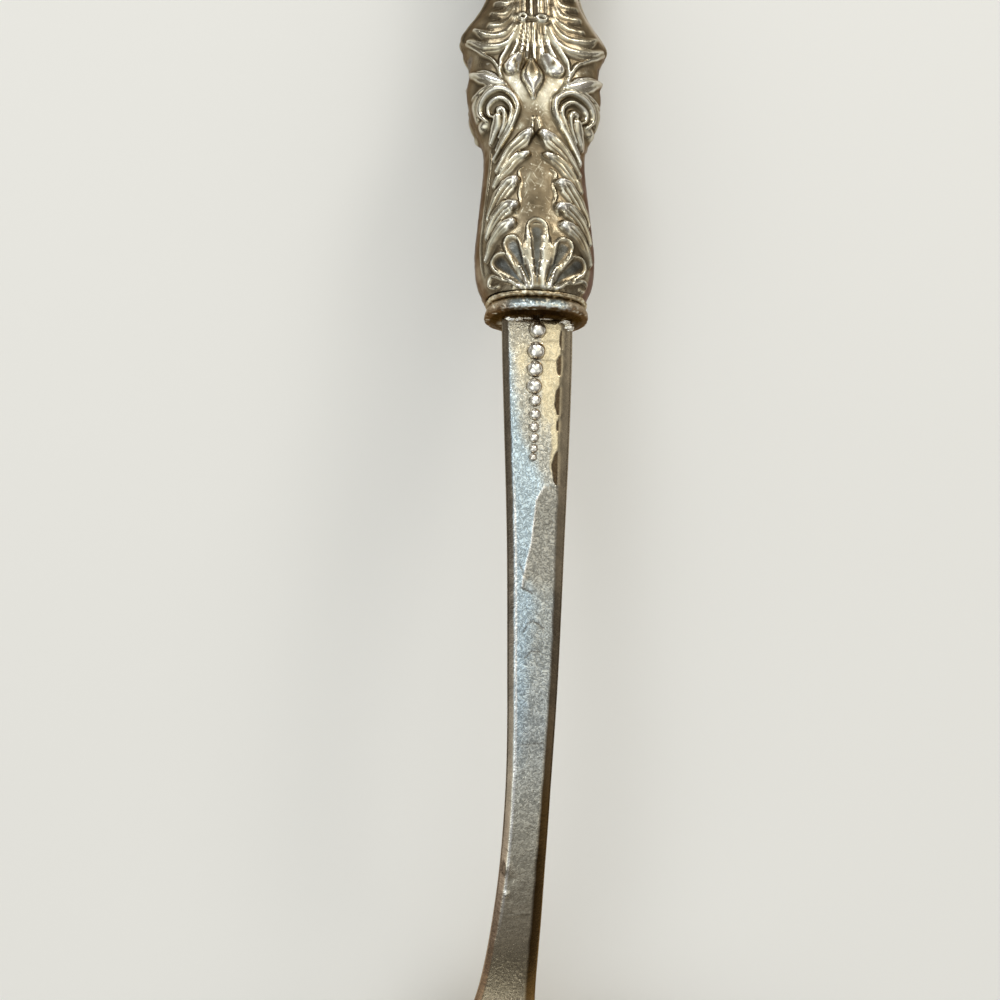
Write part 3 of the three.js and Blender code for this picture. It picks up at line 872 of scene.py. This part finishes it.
def stem_place(run):
    """Where the stem's middle is after a run from the ferrule, and how far it has turned back."""
    y = z = turn = 0.0
    left = run
    for length, radius in [*STEM_RADII, (HEEL_LENGTH, -heel_radius)]:
        step = min(left, length)
        half = step / radius / 2
        chord = step * math.sin(half) / half if half else 0
        y -= chord * math.cos(turn + half)
        z -= chord * math.sin(turn + half)
        turn += 2 * half
        left -= step
    return y, z, turn


bowl_radius = (BOWL_RIM_RADIUS ** 2 + BOWL_DEPTH ** 2) / (2 * BOWL_DEPTH)
heel_radius = bowl_radius + RIM_ROLL + SEAT_GAP + HEEL_THICKNESS / 2
rim_run = sum(length for length, _ in STEM_RADII)
stem_run = rim_run + HEEL_LENGTH
rim_y, rim_z, rim_turn = stem_place(rim_run)
bowl_centre = Vector((0, rim_y - heel_radius * math.sin(rim_turn), rim_z + heel_radius * math.cos(rim_turn)))
rim_angle = math.acos((bowl_radius - BOWL_DEPTH) / bowl_radius)
bowl_opens = rim_turn + math.pi / 2 - rim_angle

stem_width = through(STEM_WIDTHS)
right_bevel = through(RIGHT_BEVELS)


def stem_thickness(run):
    return STEM_THICKNESS + (HEEL_THICKNESS - STEM_THICKNESS) * step_up(run, 0, rim_run)


def section(left_half, right_half, left_bevel, right_bevel_width, thickness, bevel_depth, back_bevel):
    """A closed section with a flat front, bevelled edges, sides that draw in to the back and worn corners."""
    front = thickness / 2
    corners = [
        (-left_half + left_bevel, front),
        (right_half - right_bevel_width, front),
        (right_half, front - bevel_depth),
        (right_half - back_bevel / 3, -front + back_bevel / 2),
        (right_half - back_bevel, -front),
        (-left_half + back_bevel, -front),
        (-left_half + back_bevel / 3, -front + back_bevel / 2),
        (-left_half, front - bevel_depth),
    ]
    points = []
    for k, steps in enumerate(SECTION_STEPS):
        start, end = np.array(corners[k]), np.array(corners[(k + 1) % len(corners)])
        points += [start + (end - start) * t for t in np.arange(steps) / steps]
    ring = np.array(points)
    return (np.roll(ring, 1, 0) + 2 * ring + np.roll(ring, -1, 0)) / 4


# Tints of the stem's front, left side and right side, down from the ferrule, with painted shade and
# reflection in them: the right side painted far darker than the left, the front bluish grey from 30 to 60 and
# darker where it bends away from 100 to 116
FRONT_TINTS = tint_line([
    (0, (0.54, 0.51, 0.43)), (18, (0.51, 0.50, 0.445)), (30, (0.45, 0.455, 0.43)), (45, (0.43, 0.45, 0.435)),
    (60, (0.47, 0.495, 0.485)), (76, (0.59, 0.57, 0.485)), (92, (0.60, 0.555, 0.45)),
    (100, (0.44, 0.40, 0.31)), (116, (0.36, 0.33, 0.265)), (141, (0.6, 0.56, 0.47)),
])
LEFT_TINTS = tint_line([
    (0, (0.25, 0.215, 0.16)), (24, (0.22, 0.185, 0.14)), (45, (0.18, 0.15, 0.118)), (70, (0.22, 0.18, 0.135)),
    (90, (0.42, 0.31, 0.225)), (100, (0.52, 0.37, 0.26)), (141, (0.4, 0.34, 0.26)),
])
RIGHT_TINTS = tint_line([
    (0, (0.39, 0.335, 0.245)), (25, (0.30, 0.25, 0.18)), (50, (0.125, 0.10, 0.07)),
    (72, (0.06, 0.036, 0.014)), (86, (0.09, 0.053, 0.02)), (108, (0.11, 0.067, 0.03)),
    (125, (0.3, 0.25, 0.19)), (141, (0.4, 0.34, 0.26)),
])
BEVEL_GOLD_TINT = (0.34, 0.215, 0.085)
BACK_TINT = (0.55, 0.51, 0.43)
FLAKE_TINT = (0.37, 0.36, 0.32)
FLAKE_LINE_TINT = (1.0, 0.98, 0.92)
BLUE_REFLECTION_TINT = (0.485, 0.59, 0.66)
CREAM_REFLECTION_TINT = (0.70, 0.62, 0.44)
GRIME_TINT = (0.09, 0.064, 0.038)
EDGE_HIGHLIGHT_TINT = (0.95, 0.95, 0.93)
# Edge of the flaked plate, how far across at each place down the run, and the relief of its line and hollow
FLAKE_EDGE = straight([
    (25.2, 1.2), (27.3, 0), (30.2, -0.3), (33.9, -0.7), (36, -1.2), (39, -1.8), (40.2, -1.9), (40.9, -0.4),
])
FLAKE_LINE_RISE = 0.07
FLAKE_DEPTH = 0.04
# How far in from the left edge the painted bluish reflection reaches
BLUE_REFLECTION_REACH = straight([
    (0, 0.2), (10, 0.5), (17, 1.2), (24, 4.2), (30, 5.5), (40, 3.2), (50, 1.9), (70, 0.9),
])
# Places along the right front edge where the plate has chipped off: from, to and how far in
CHIPS = [(1.5, 4.3, 0.22), (5.4, 8.6, 0.6), (10.2, 14.6, 0.55), (15.2, 17.0, 0.25), (20.0, 25.0, 0.7)]
CHIP_DEPTH = 0.1
# Small lumps and dents of the front: across, down, half width, half height and rise
LUMPS = [
    (-2.4, 81.6, 0.7, 1.2, 0.25), (-1.3, 83.6, 0.8, 0.9, -0.12), (-1.9, 86.2, 0.5, 0.8, 0.22),
    (0.3, 90, 1.6, 0.4, 0.1), (0.8, 57, 1.2, 1.6, -0.05), (-0.9, 71, 1.0, 1.8, 0.06),
    (1.2, 76, 0.9, 1.4, -0.06),
]
# Fine creases across the front: the points on each, across and down, and how dark it is
CREASES = [
    ([(-2.0, 40.1), (-0.4, 40.9)], 0.9),
    ([(-1.5, 46.5), (-0.9, 45.3), (-0.15, 45), (0.7, 45.2), (1.4, 45.9)], 0.75),
    ([(-1.2, 50.2), (-0.2, 49.2), (1, 49.4)], 0.7),
    ([(-1.8, 62.9), (1.9, 62.5)], 0.5),
    ([(-1.2, 89.8), (1.8, 90.1)], 0.5),
    ([(-2.3, 36.6), (-1.7, 38.4)], 0.8),
    ([(0.7, 3.5), (3.2, 3.2)], 0.45),
    ([(0.5, 6.3), (3, 6.2)], 0.5),
    ([(1.4, 30.9), (2.4, 30.5)], 0.3),
]
CREASE_WIDTH = 0.14
CREASE_DEPTH = 0.08
# Wrinkles of the casting: how quickly they change across and down, their height and their seed
WRINKLES = [(1.3, 1.1, 0.045, 1), (2.4, 2.1, 0.03, 2)]


def creases(x, run, wander):
    """How dark the fine creases make each place of the front."""
    dark = np.zeros(x.shape)
    for points, darkness in CREASES:
        for start, end in zip(np.array(points), np.array(points[1:])):
            _, off_x, off_y, _ = off_leg(x, run, start, end)
            gap = np.hypot(off_x, off_y + 0.2 * wander)
            dark = np.maximum(dark, darkness * bell(gap, 0, CREASE_WIDTH))
    return dark


def chips(run, past_edge, wander):
    """Where the plate has chipped off the front's right edge."""
    chipped = np.zeros(run.shape)
    for top, bottom, deep in CHIPS:
        share = np.clip((run - top) / (bottom - top), 0, 1)
        inward = deep * np.sqrt(np.sin(math.pi * share)) * (1 + 0.5 * wander)
        chip = step_up(past_edge + inward, -0.06, 0.06) * step_down(past_edge, 0.1, 0.35)
        chipped = np.maximum(chipped, np.where((share > 0) & (share < 1), chip, 0))
    return chipped


def painted_cream_reflection(x, run, past_edge, wander):
    """How much painted creamy reflection lies on the front: right of the beads, down the right edge and left
    of the beads.
    """
    beside_beads = step_up(x + 0.3 * wander, 0.3, 1.0) * step_down(run + 2 * wander, 12, 19)
    down_edge = step_up(past_edge + 0.3 * wander, -1.2, -0.7) * step_down(run, 22, 25)
    left_patch = 0.9 * bell(x + 0.5 * wander, -2.1, 1.1) * bell(run + wander, 6.4, 2.6)
    return np.maximum(np.maximum(beside_beads, down_edge), left_patch)


def front_wear_and_light(x, run, left_edge, right_edge):
    """The front's relief, its tints with painted reflections and a painted edge highlight, how bare of plate
    it is and how much painted creamy reflection it has.
    """
    wander = waver(x * 0.8, run * 0.8, 3)
    past_flake = x - FLAKE_EDGE(run)
    past_edge = x - right_edge
    in_flake = step_up(run, 25.0, 25.3) * step_down(run + 1.5 * wander, 38.5, 42.5)
    flaked = step_up(past_flake, -0.08, 0.08) * in_flake
    flake_line = bell(past_flake, 0, 0.14) * in_flake * step_down(run, 39.8, 40.4)
    creased = creases(x, run, wander)
    chipped = chips(run, past_edge, wander)
    rise = FLAKE_LINE_RISE * flake_line - FLAKE_DEPTH * flaked - CREASE_DEPTH * creased - CHIP_DEPTH * chipped
    for across, down, wide, tall, high in LUMPS:
        away = np.hypot((x - across) / wide, (run - down) / tall)
        rise = rise + high * np.exp(-away ** 2 * 1.6)
    for across_rate, down_rate, high, seed in WRINKLES:
        rise = rise + high * np.abs(waver(x * across_rate, run * down_rate, seed))
    # Painted bluish reflection down the left of the front.
    sheen = step_down(x - left_edge - BLUE_REFLECTION_REACH(run) + 0.6 * wander, -1.2, 1.2)
    blue_reflection = sheen * between(run, (2, 8), (54, 72))
    cream_reflection = painted_cream_reflection(x, run, past_edge, wander)
    # Painted highlight along the front's left edge.
    edge_highlight = bell(x - left_edge, 0.1, 0.16) * between(run, (20, 32), (86, 96))
    edge_highlight = edge_highlight * step_up(wander, -1.3, -0.1)
    seam = step_down(run + 0.3 * wander, 0.2, 0.9)
    bevel_line = 0.7 * bell(past_edge, 0.05, 0.12) * step_down(run, 24, 27)
    tints = tinted(FRONT_TINTS(run), [
        (blue_reflection, BLUE_REFLECTION_TINT), (cream_reflection, CREAM_REFLECTION_TINT), (flaked, FLAKE_TINT), (flake_line, FLAKE_LINE_TINT),
        (edge_highlight, EDGE_HIGHLIGHT_TINT), (creased, GRIME_TINT), (chipped, GRIME_TINT), (seam, GRIME_TINT),
        (bevel_line, GRIME_TINT),
    ])
    return rise, tints, flaked, cream_reflection


def side_tints(across, out, down):
    """Tints of the bevels, the sides and the back.

    Painted shade: the right bevel is darkest beside the front and golden at its outer edge, the left one
    palest beside the front.
    """
    right = across > 0
    front = stem_thickness(down) / 2
    across_bevel = np.clip((front - out) / BEVEL_DEPTH, 0, 1)
    streaks = 1 + 0.25 * waver(across_bevel * 2.2, down * 0.12, 9)
    # Painted shade across the bevels.
    shade = np.where(right, 0.7 + 0.6 * across_bevel, 1.15 - 0.3 * across_bevel) * streaks
    tints = np.where(right[..., None], RIGHT_TINTS(down), LEFT_TINTS(down)) * shade[..., None]
    gold = 0.6 * right * across_bevel ** 2 * between(down, (66, 90), (112, 122))
    tints = laid_over(tints, gold, BEVEL_GOLD_TINT)
    return laid_over(tints, step_down(out, -0.8 * front, 0.2 * front), BACK_TINT)


def tang_rings():
    """Rings of the tang, from the point that closes its tip down to the ferrule."""
    rings = []
    middle_width = (TANG_WIDTH + TANG_TIP_WIDTH) / 2
    for y, width in ((TANG_LENGTH, 0.2), (TANG_LENGTH, TANG_TIP_WIDTH), (TANG_LENGTH / 2, middle_width),
                     (STEM_FROM, TANG_WIDTH)):
        full = min(1, width)
        ring = section(width / 2, width / 2, width / 12, width / 12, TANG_THICKNESS * full, 0.3, 0.5 * full)
        rings.append(np.stack([ring[:, 0], np.full(len(ring), y), ring[:, 1]], 1))
    return rings


def on_bowl(net, past_rim):
    """A net whose heel clears the bowl's rolled rim and is hollowed to lie on the bowl below it."""
    centre = np.array(bowl_centre)
    past_rim = past_rim[:, None, None]
    seat = bowl_radius + RIM_ROLL - (RIM_ROLL - HEEL_SEAM) * step_up(past_rim, 1.6, 3.6)
    away = net - centre
    distance = np.linalg.norm(away, axis=-1, keepdims=True)
    laid = (past_rim > -6) & (distance < seat)
    laid |= (past_rim > 2) & (distance < bowl_radius + HEEL_REACH)
    return np.where(laid, centre + away * seat / distance, net)


def stem_mesh():
    """The stem as one tube from the tang's tip to the heel, with its wear, its tints and their painted shade
    and reflections marked on it.
    """
    runs = np.concatenate([
        np.linspace(STEM_FROM, CLOSE_TO, CLOSE_RINGS),
        np.linspace(HEEL_FROM, stem_run, HEEL_RINGS),
    ])
    sections = []
    for run in runs:
        half = stem_width(run) / 2
        uneven = BEVEL_WANDER * noise.noise((run * 0.35, 0, 7))
        sections.append(section(half + LEFT_SPREAD, half + RIGHT_SPREAD, LEFT_BEVEL + uneven,
                                right_bevel(run) - uneven, stem_thickness(run), BEVEL_DEPTH,
                                min(BACK_BEVEL, half - 0.6)))
    across, out = np.moveaxis(np.array(sections), -1, 0)
    down = np.repeat(runs[:, None], across.shape[1], 1)
    front = stem_thickness(down) / 2
    half = stem_width(down) / 2
    on_front = step_up(out, front - BEVEL_DEPTH, front - 0.05)
    on_side = step_down(out, front - 0.11, front - 0.03)
    right_edge = half + RIGHT_SPREAD - right_bevel(down)
    rise, tints, flaked, cream_reflection = front_wear_and_light(across, down, LEFT_BEVEL - half, right_edge)
    tints[..., :3] = laid_over(tints[..., :3], on_side, side_tints(across, out, down))
    rugged = (1 - 0.75 * on_side) * (1 - 0.6 * step_up(down, 62, 92)) * (1 - 0.5 * cream_reflection)
    out = out + rise * on_front
    rings = tang_rings()
    tang_rows = len(rings)
    for k, run in enumerate(runs):
        y, z, turn = stem_place(run)
        rings.append(np.stack([across[k], y - out[k] * math.sin(turn), z + out[k] * math.cos(turn)], 1))
    unmarked = np.zeros((tang_rows, across.shape[1]))
    marks = {"tint": np.concatenate([np.repeat(tints[:1], tang_rows, 0), tints]),
             "bare": np.concatenate([unmarked, flaked * on_front]),
             "rugged": np.concatenate([unmarked, rugged])}
    net = np.array(rings)
    net = np.concatenate([net, net[:, :1]], axis=1)
    marks = {name: np.concatenate([values, values[:, :1]], axis=1) for name, values in marks.items()}
    past_rim = np.concatenate([np.full(tang_rows, -rim_run), runs - rim_run])
    bm = net_mesh(on_bowl(net, past_rim), True, marks)
    bmesh.ops.holes_fill(bm, edges=[edge for edge in bm.edges if edge.is_boundary])
    bmesh.ops.recalc_face_normals(bm, faces=bm.faces)
    return bm


def lump_mesh():
    """An empty mesh with layers for its tint and its ruggedness."""
    bm = bmesh.new()
    return bm, bm.verts.layers.float_color.new("tint"), bm.verts.layers.float.new("rugged")


BEAD_TINT = Vector((0.98, 0.95, 0.87, 1))
BEAD_SHADE_TINT = Vector((0.36, 0.29, 0.20, 1))
BEAD_FOOT_TINT = Vector((0.12, 0.085, 0.05, 1))
BEAD_RUGGED = 0.3


def bead_mesh():
    """The row of beads cast down the stem's front, with patina at their feet and painted shade on their upper
    right.
    """
    bm, tint, rugged = lump_mesh()
    for across, run, radius in BEADS:
        y, z, turn = stem_place(run)
        out = stem_thickness(run) / 2 - BEAD_SINK * radius
        centre = Vector((across, y - out * math.sin(turn), z + out * math.cos(turn)))
        ball = bmesh.ops.create_uvsphere(bm, u_segments=40, v_segments=24, radius=BEAD_SWELL * radius)
        for vertex in ball["verts"]:
            facing = vertex.co.normalized()
            # Painted shade on the upper right of each bead.
            shade = step_up(0.75 * facing.y + 0.5 * facing.x, 0.25, 0.7)
            foot = step_down(facing.z, 0.05, 0.4)
            vertex[tint] = BEAD_TINT.lerp(BEAD_SHADE_TINT, shade).lerp(BEAD_FOOT_TINT, foot)
            vertex[rugged] = BEAD_RUGGED
            lumpy = 1 + 0.05 * noise.noise(facing * 1.7 + Vector((run, 0, 0)))
            vertex.co = centre + vertex.co * lumpy
    return bm


# Ferrule


# Tints up the ferrule's round band, from its underside, at the front and at the sides, with painted
# reflection and shade in them: bluish low on the front, dark towards the lip and underneath
BAND_FRONT_TINTS = tint_line([
    (0, (0.2, 0.13, 0.07)), (0.06, (0.36, 0.33, 0.29)), (0.12, (0.54, 0.60, 0.61)), (0.4, (0.31, 0.37, 0.39)),
    (0.7, (0.155, 0.17, 0.16)), (0.85, (0.18, 0.145, 0.095)), (1, (0.26, 0.195, 0.115)),
])
BAND_SIDE_TINTS = tint_line([
    (0, (0.13, 0.075, 0.035)), (0.2, (0.3, 0.22, 0.14)), (0.6, (0.46, 0.39, 0.29)), (1, (0.42, 0.33, 0.21)),
])
UNDERSIDE_SHADE_TINT = (0.045, 0.024, 0.009)
LIP_TINT = (0.74, 0.66, 0.47)
LIP_GROOVE_TINT = (0.16, 0.115, 0.065)
BAND_GLINT_TINT = (0.8, 0.76, 0.62)
FERRULE_DULL = 0.6
# Dents of the ferrule: how quickly they change, and their depth
FERRULE_DENTS = [(0.9, 0.08), (2.0, 0.07)]


def oval_ring(wide, deep, y):
    angle = np.linspace(0, 2 * math.pi, FERRULE_STEPS + 1)
    power = 2 / OVAL_POWER
    x = wide * np.sign(np.cos(angle)) * np.abs(np.cos(angle)) ** power
    z = deep * np.sign(np.sin(angle)) * np.abs(np.sin(angle)) ** power
    return np.stack([x, np.full(len(angle), y), z], 1)


def ferrule_mesh():
    """The moulded ferrule: a round band under a thin lip, a spigot in the handle and a bore for the tang."""
    band = [(BAND_MARGIN * (1 - math.sin(t)), BAND_FROM + BAND_HEIGHT * ((1 - math.cos(t)) / 2) ** BAND_DROOP)
            for t in np.linspace(0.2, math.pi - 0.25, 20)]
    lip = [(LIP_MARGIN - LIP_BULGE * math.sin(t), LIP_MIDDLE - LIP_HALF_HEIGHT * math.cos(t))
           for t in np.linspace(0.3, math.pi - 0.7, 12)]
    rows = [oval_ring(FERRULE_HALF_WIDTH - margin, FERRULE_HALF_DEPTH - margin, y)
            for margin, y in [*UNDERSIDE, *band, LIP_GROOVE, *lip, FERRULE_TOP]]
    for row in rows:
        row[:, 0] += FERRULE_SHIFT
    rows += [oval_ring(*ring) for ring in SPIGOT_RINGS]
    rows.append(rows[0])
    net = np.array(rows)
    x, y, z = np.moveaxis(net, -1, 0)
    uneven = waver(x * 0.9, y * 1.6 + z * 0.9, 5)
    flecks = waver(x * 1.7, y * 2.2 + z * 1.7, 6)
    up_band = (y - BAND_FROM) / BAND_HEIGHT + 0.12 * uneven + 0.14 * flecks
    to_side = step_up(np.abs(x + 0.4), 3.4, 5.4)
    kind = np.arange(len(rows))[:, None] + 0 * x
    groove_row = len(UNDERSIDE) + len(band)
    top_row = groove_row + 1 + len(lip)
    # Painted light on the band: a bluish reflection low on its front, darker painting up towards the lip, a
    # near-black painted shadow underneath and bright painted glints.
    tints = tinted(laid_over(BAND_FRONT_TINTS(up_band), to_side, BAND_SIDE_TINTS(up_band)), [
        (1.0 * (kind < len(UNDERSIDE)), UNDERSIDE_SHADE_TINT),
        (1.0 * (kind == groove_row), LIP_GROOVE_TINT),
        (0.9 * (kind > groove_row) * step_up(flecks, -0.45, 0.3), LIP_TINT),
        (1.0 * (kind >= top_row), LIP_GROOVE_TINT),
        (0.8 * (kind >= len(UNDERSIDE)) * step_up(flecks + 0.3 * uneven, 0.32, 0.5), BAND_GLINT_TINT),
    ])
    dull = np.full(x.shape, FERRULE_DULL)
    bm = net_mesh(net, True, {"tint": tints, "rugged": dull, "bare": dull})
    for vertex in bm.verts:
        dent = sum(depth * noise.noise(vertex.co * rate) for rate, depth in FERRULE_DENTS)
        vertex.co += vertex.co.normalized() * dent
    bmesh.ops.recalc_face_normals(bm, faces=bm.faces)
    return bm


SOLDER_TINT = (0.95, 0.9, 0.8, 1)
SOLDER_RUGGED = 0.6
# Lumps of solder: their place and half sizes
SOLDER = [
    ((-3.9, -0.15, 2.5), (0.95, 0.5, 0.5)), ((-2.9, -0.1, 2.5), (0.7, 0.35, 0.4)),
    ((4.95, -0.7, 1.8), (0.8, 0.75, 0.6)), ((4.2, -0.2, 2.3), (0.8, 0.35, 0.45)),
    ((1.3, 0.0, 2.6), (1.0, 0.15, 0.3)), ((-1.5, 0.0, 2.6), (0.7, 0.18, 0.3)),
]


def solder_mesh():
    """Solder squeezed out where the stem meets the ferrule."""
    bm, tint, rugged = lump_mesh()
    for place, size in SOLDER:
        lump = bmesh.ops.create_icosphere(bm, subdivisions=4, radius=1)["verts"]
        for vertex in lump:
            swell = 1 + 0.35 * noise.noise(vertex.co * 2.2 + Vector(place) * 3)
            vertex.co = Vector(place) + Vector([a * b * swell for a, b in zip(vertex.co, size)])
            vertex[tint] = SOLDER_TINT
            vertex[rugged] = SOLDER_RUGGED
    return bm


# Bowl


def bowl_mesh():
    """The raised bowl, spun from its section, with a rolled rim and a flat where it stands."""
    rim_top = BOWL_DEPTH - bowl_radius
    foot_angle = math.acos((RIM_HEIGHT - rim_top) / bowl_radius)
    inner_radius = bowl_radius - BOWL_WALL
    inner_angle = math.acos(-rim_top / inner_radius)

    def arc(radius, start, end):
        return [(radius * math.sin(t), -radius * math.cos(t)) for t in np.linspace(start, end, WALL_STEPS)]

    outer = arc(bowl_radius, 0, foot_angle)
    inner = arc(inner_radius, inner_angle, 0)
    roll_middle = (BOWL_RIM_RADIUS + RIM_ROLL + inner[0][0]) / 2
    roll_half = (BOWL_RIM_RADIUS + RIM_ROLL - inner[0][0]) / 2
    roll = [(roll_middle + roll_half * math.cos(t), rim_top - RIM_ROLL_HEIGHT + RIM_ROLL_HEIGHT * math.sin(t))
            for t in np.linspace(-0.9, 2.8, ROLL_STEPS)]
    bm = bmesh.new()
    profile = [bm.verts.new((r, h, 0)) for r, h in [*outer, *roll, *inner]]
    edges = [bm.edges.new(pair) for pair in zip(profile, profile[1:])]
    bmesh.ops.spin(bm, geom=[*profile, *edges], cent=(0, 0, 0), axis=(0, 1, 0), angle=2 * math.pi,
                   steps=BOWL_SPIN_STEPS, use_merge=True)
    bmesh.ops.remove_doubles(bm, verts=bm.verts, dist=1e-3)
    bmesh.ops.recalc_face_normals(bm, faces=bm.faces)
    place = Matrix.Translation(bowl_centre) @ Matrix.Rotation(bowl_opens, 4, "X")
    bmesh.ops.transform(bm, matrix=place, verts=bm.verts)
    # What would lie below the table is planished flat onto it
    to_handle = LIE.inverted()
    for vertex in bm.verts:
        lying = LIE @ vertex.co
        if lying.z < 0:
            vertex.co = to_handle @ Vector((lying.x, lying.y, 0))
    return bm


# The ladle

struck = struck_silver()
plate = plated_silver()
worn = worn_silver()

front_half = handle_shell(side=1, fine_rows=56, end_rows=13, around=28)
back_half = handle_shell(side=-1, fine_rows=38, end_rows=16, around=21)
finished(front_half, "handle_front", struck, sharp=50, replaces="handle_front_shell")
finished(back_half, "handle_back", struck, sharp=50, replaces="handle_back_shell")
finished(ferrule_mesh(), "ferrule", worn, sharp=60, replaces="ferrule_collar")
finished(stem_mesh(), "stem_bar", worn, sharp=60, replaces="stem")
finished(bead_mesh(), "beads", worn)
finished(solder_mesh(), "solder", worn)
finished(bowl_mesh(), "bowl_dish", plate, sharp=60, replaces="bowl")

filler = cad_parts["handle_filler"]
filler.data.materials.clear()
filler.data.materials.append(cement())

# Table, light and camera

FLOOR_SIZE = 4.0
floor_grid = bmesh.new()
bmesh.ops.create_grid(floor_grid, x_segments=1, y_segments=1, size=FLOOR_SIZE)
floor_mesh = as_mesh(floor_grid, "floor")
floor_mesh.materials.append(floor_paint())
floor = in_scene("floor", floor_mesh)

LAMP_SIZE = 0.28
LAMP_WATTS = 1.8


def lamp(name, place, colour):
    """A square lamp that faces the ladle."""
    light = bpy.data.lights.new(name, "AREA")
    light.shape = "RECTANGLE"
    light.size = light.size_y = LAMP_SIZE
    light.energy = LAMP_WATTS
    light.color = colour
    lamp_object = in_scene(name, light)
    lamp_object.location = place
    lamp_object.rotation_euler = (-Vector(place)).to_track_quat("-Z", "Y").to_euler()


lamp("upper_left", (-0.35, 0.75, 0.55), (0.95, 0.98, 1.0))
lamp("upper_right", (0.42, 0.78, 0.46), (1.0, 0.96, 0.88))

# Colours of the room from the horizon up
ROOM_TINTS = [
    (0.0, (0.13, 0.115, 0.10)),
    (0.5, (0.23, 0.21, 0.185)),
    (0.8, (0.50, 0.495, 0.475)),
    (1.0, (0.62, 0.635, 0.635)),
]
# Soft patches of light in the room: where, full within and gone beyond which angles, and the light they add.
# The last takes light away.
GLOWS = [
    ((0.2, 0.45, 0.87), 12, 34, (0.5, 0.44, 0.31)),
    ((-0.6, -0.4, 0.68), 12, 32, (1.2, 1.25, 1.22)),
    ((0.75, -0.35, 0.56), 8, 20, (0.7, 0.67, 0.6)),
    ((-0.2, 0.35, 0.9), 8, 26, (0.2, 0.27, 0.32)),
    ((-0.151, 0.046, 0.988), 3, 12, (-0.5, -0.5, -0.5)),
]


def light_room():
    """A plain room, paler overhead and towards the handle's end, with soft patches of light."""
    world = bpy.data.worlds.new("studio")
    bpy.context.scene.world = world
    world.use_nodes = True
    room = Nodes(world.node_tree)
    direction = room.node("TexCoord").outputs["Generated"]
    parts = room.node("SeparateXYZ", Vector=direction).outputs
    ahead = room.spread(parts["Y"], (-1, 1), (0.85, 1.35))
    light = room.vectors("SCALE", _0=room.ramp(parts["Z"], ROOM_TINTS), Scale=ahead)
    for towards, narrow, wide, colour in GLOWS:
        facing = room.node("VectorMath", {"operation": "DOT_PRODUCT"}, _0=direction,
                           _1=Vector(towards).normalized()).outputs["Value"]
        share = room.node("MapRange", {"interpolation_type": "SMOOTHSTEP"}, Value=facing,
                          From_Min=math.cos(math.radians(wide)), From_Max=math.cos(math.radians(narrow)))
        light = room.vectors("ADD", _0=light, _1=room.blend(share.outputs[0], (0, 0, 0), colour))
    room.put(room.tree.nodes["Background"].inputs["Color"], light)


light_room()

camera_data = bpy.data.cameras.new("camera")
camera_data.sensor_width = CAMERA_SENSOR
camera_data.lens = CAMERA_LENS
camera_data.clip_start = 0.01
camera = in_scene("camera", camera_data)
to_frame = LIE.to_3x3().normalized()
back = (to_frame @ -LOOK).normalized()
right = (to_frame @ CAMERA_UP).cross(back).normalized()
up = back.cross(right)
camera.matrix_world = Matrix.Translation(LIE @ EYE) @ Matrix((right, up, back)).transposed().to_4x4()
bpy.context.scene.camera = camera

bpy.context.scene.view_settings.view_transform = "Standard"
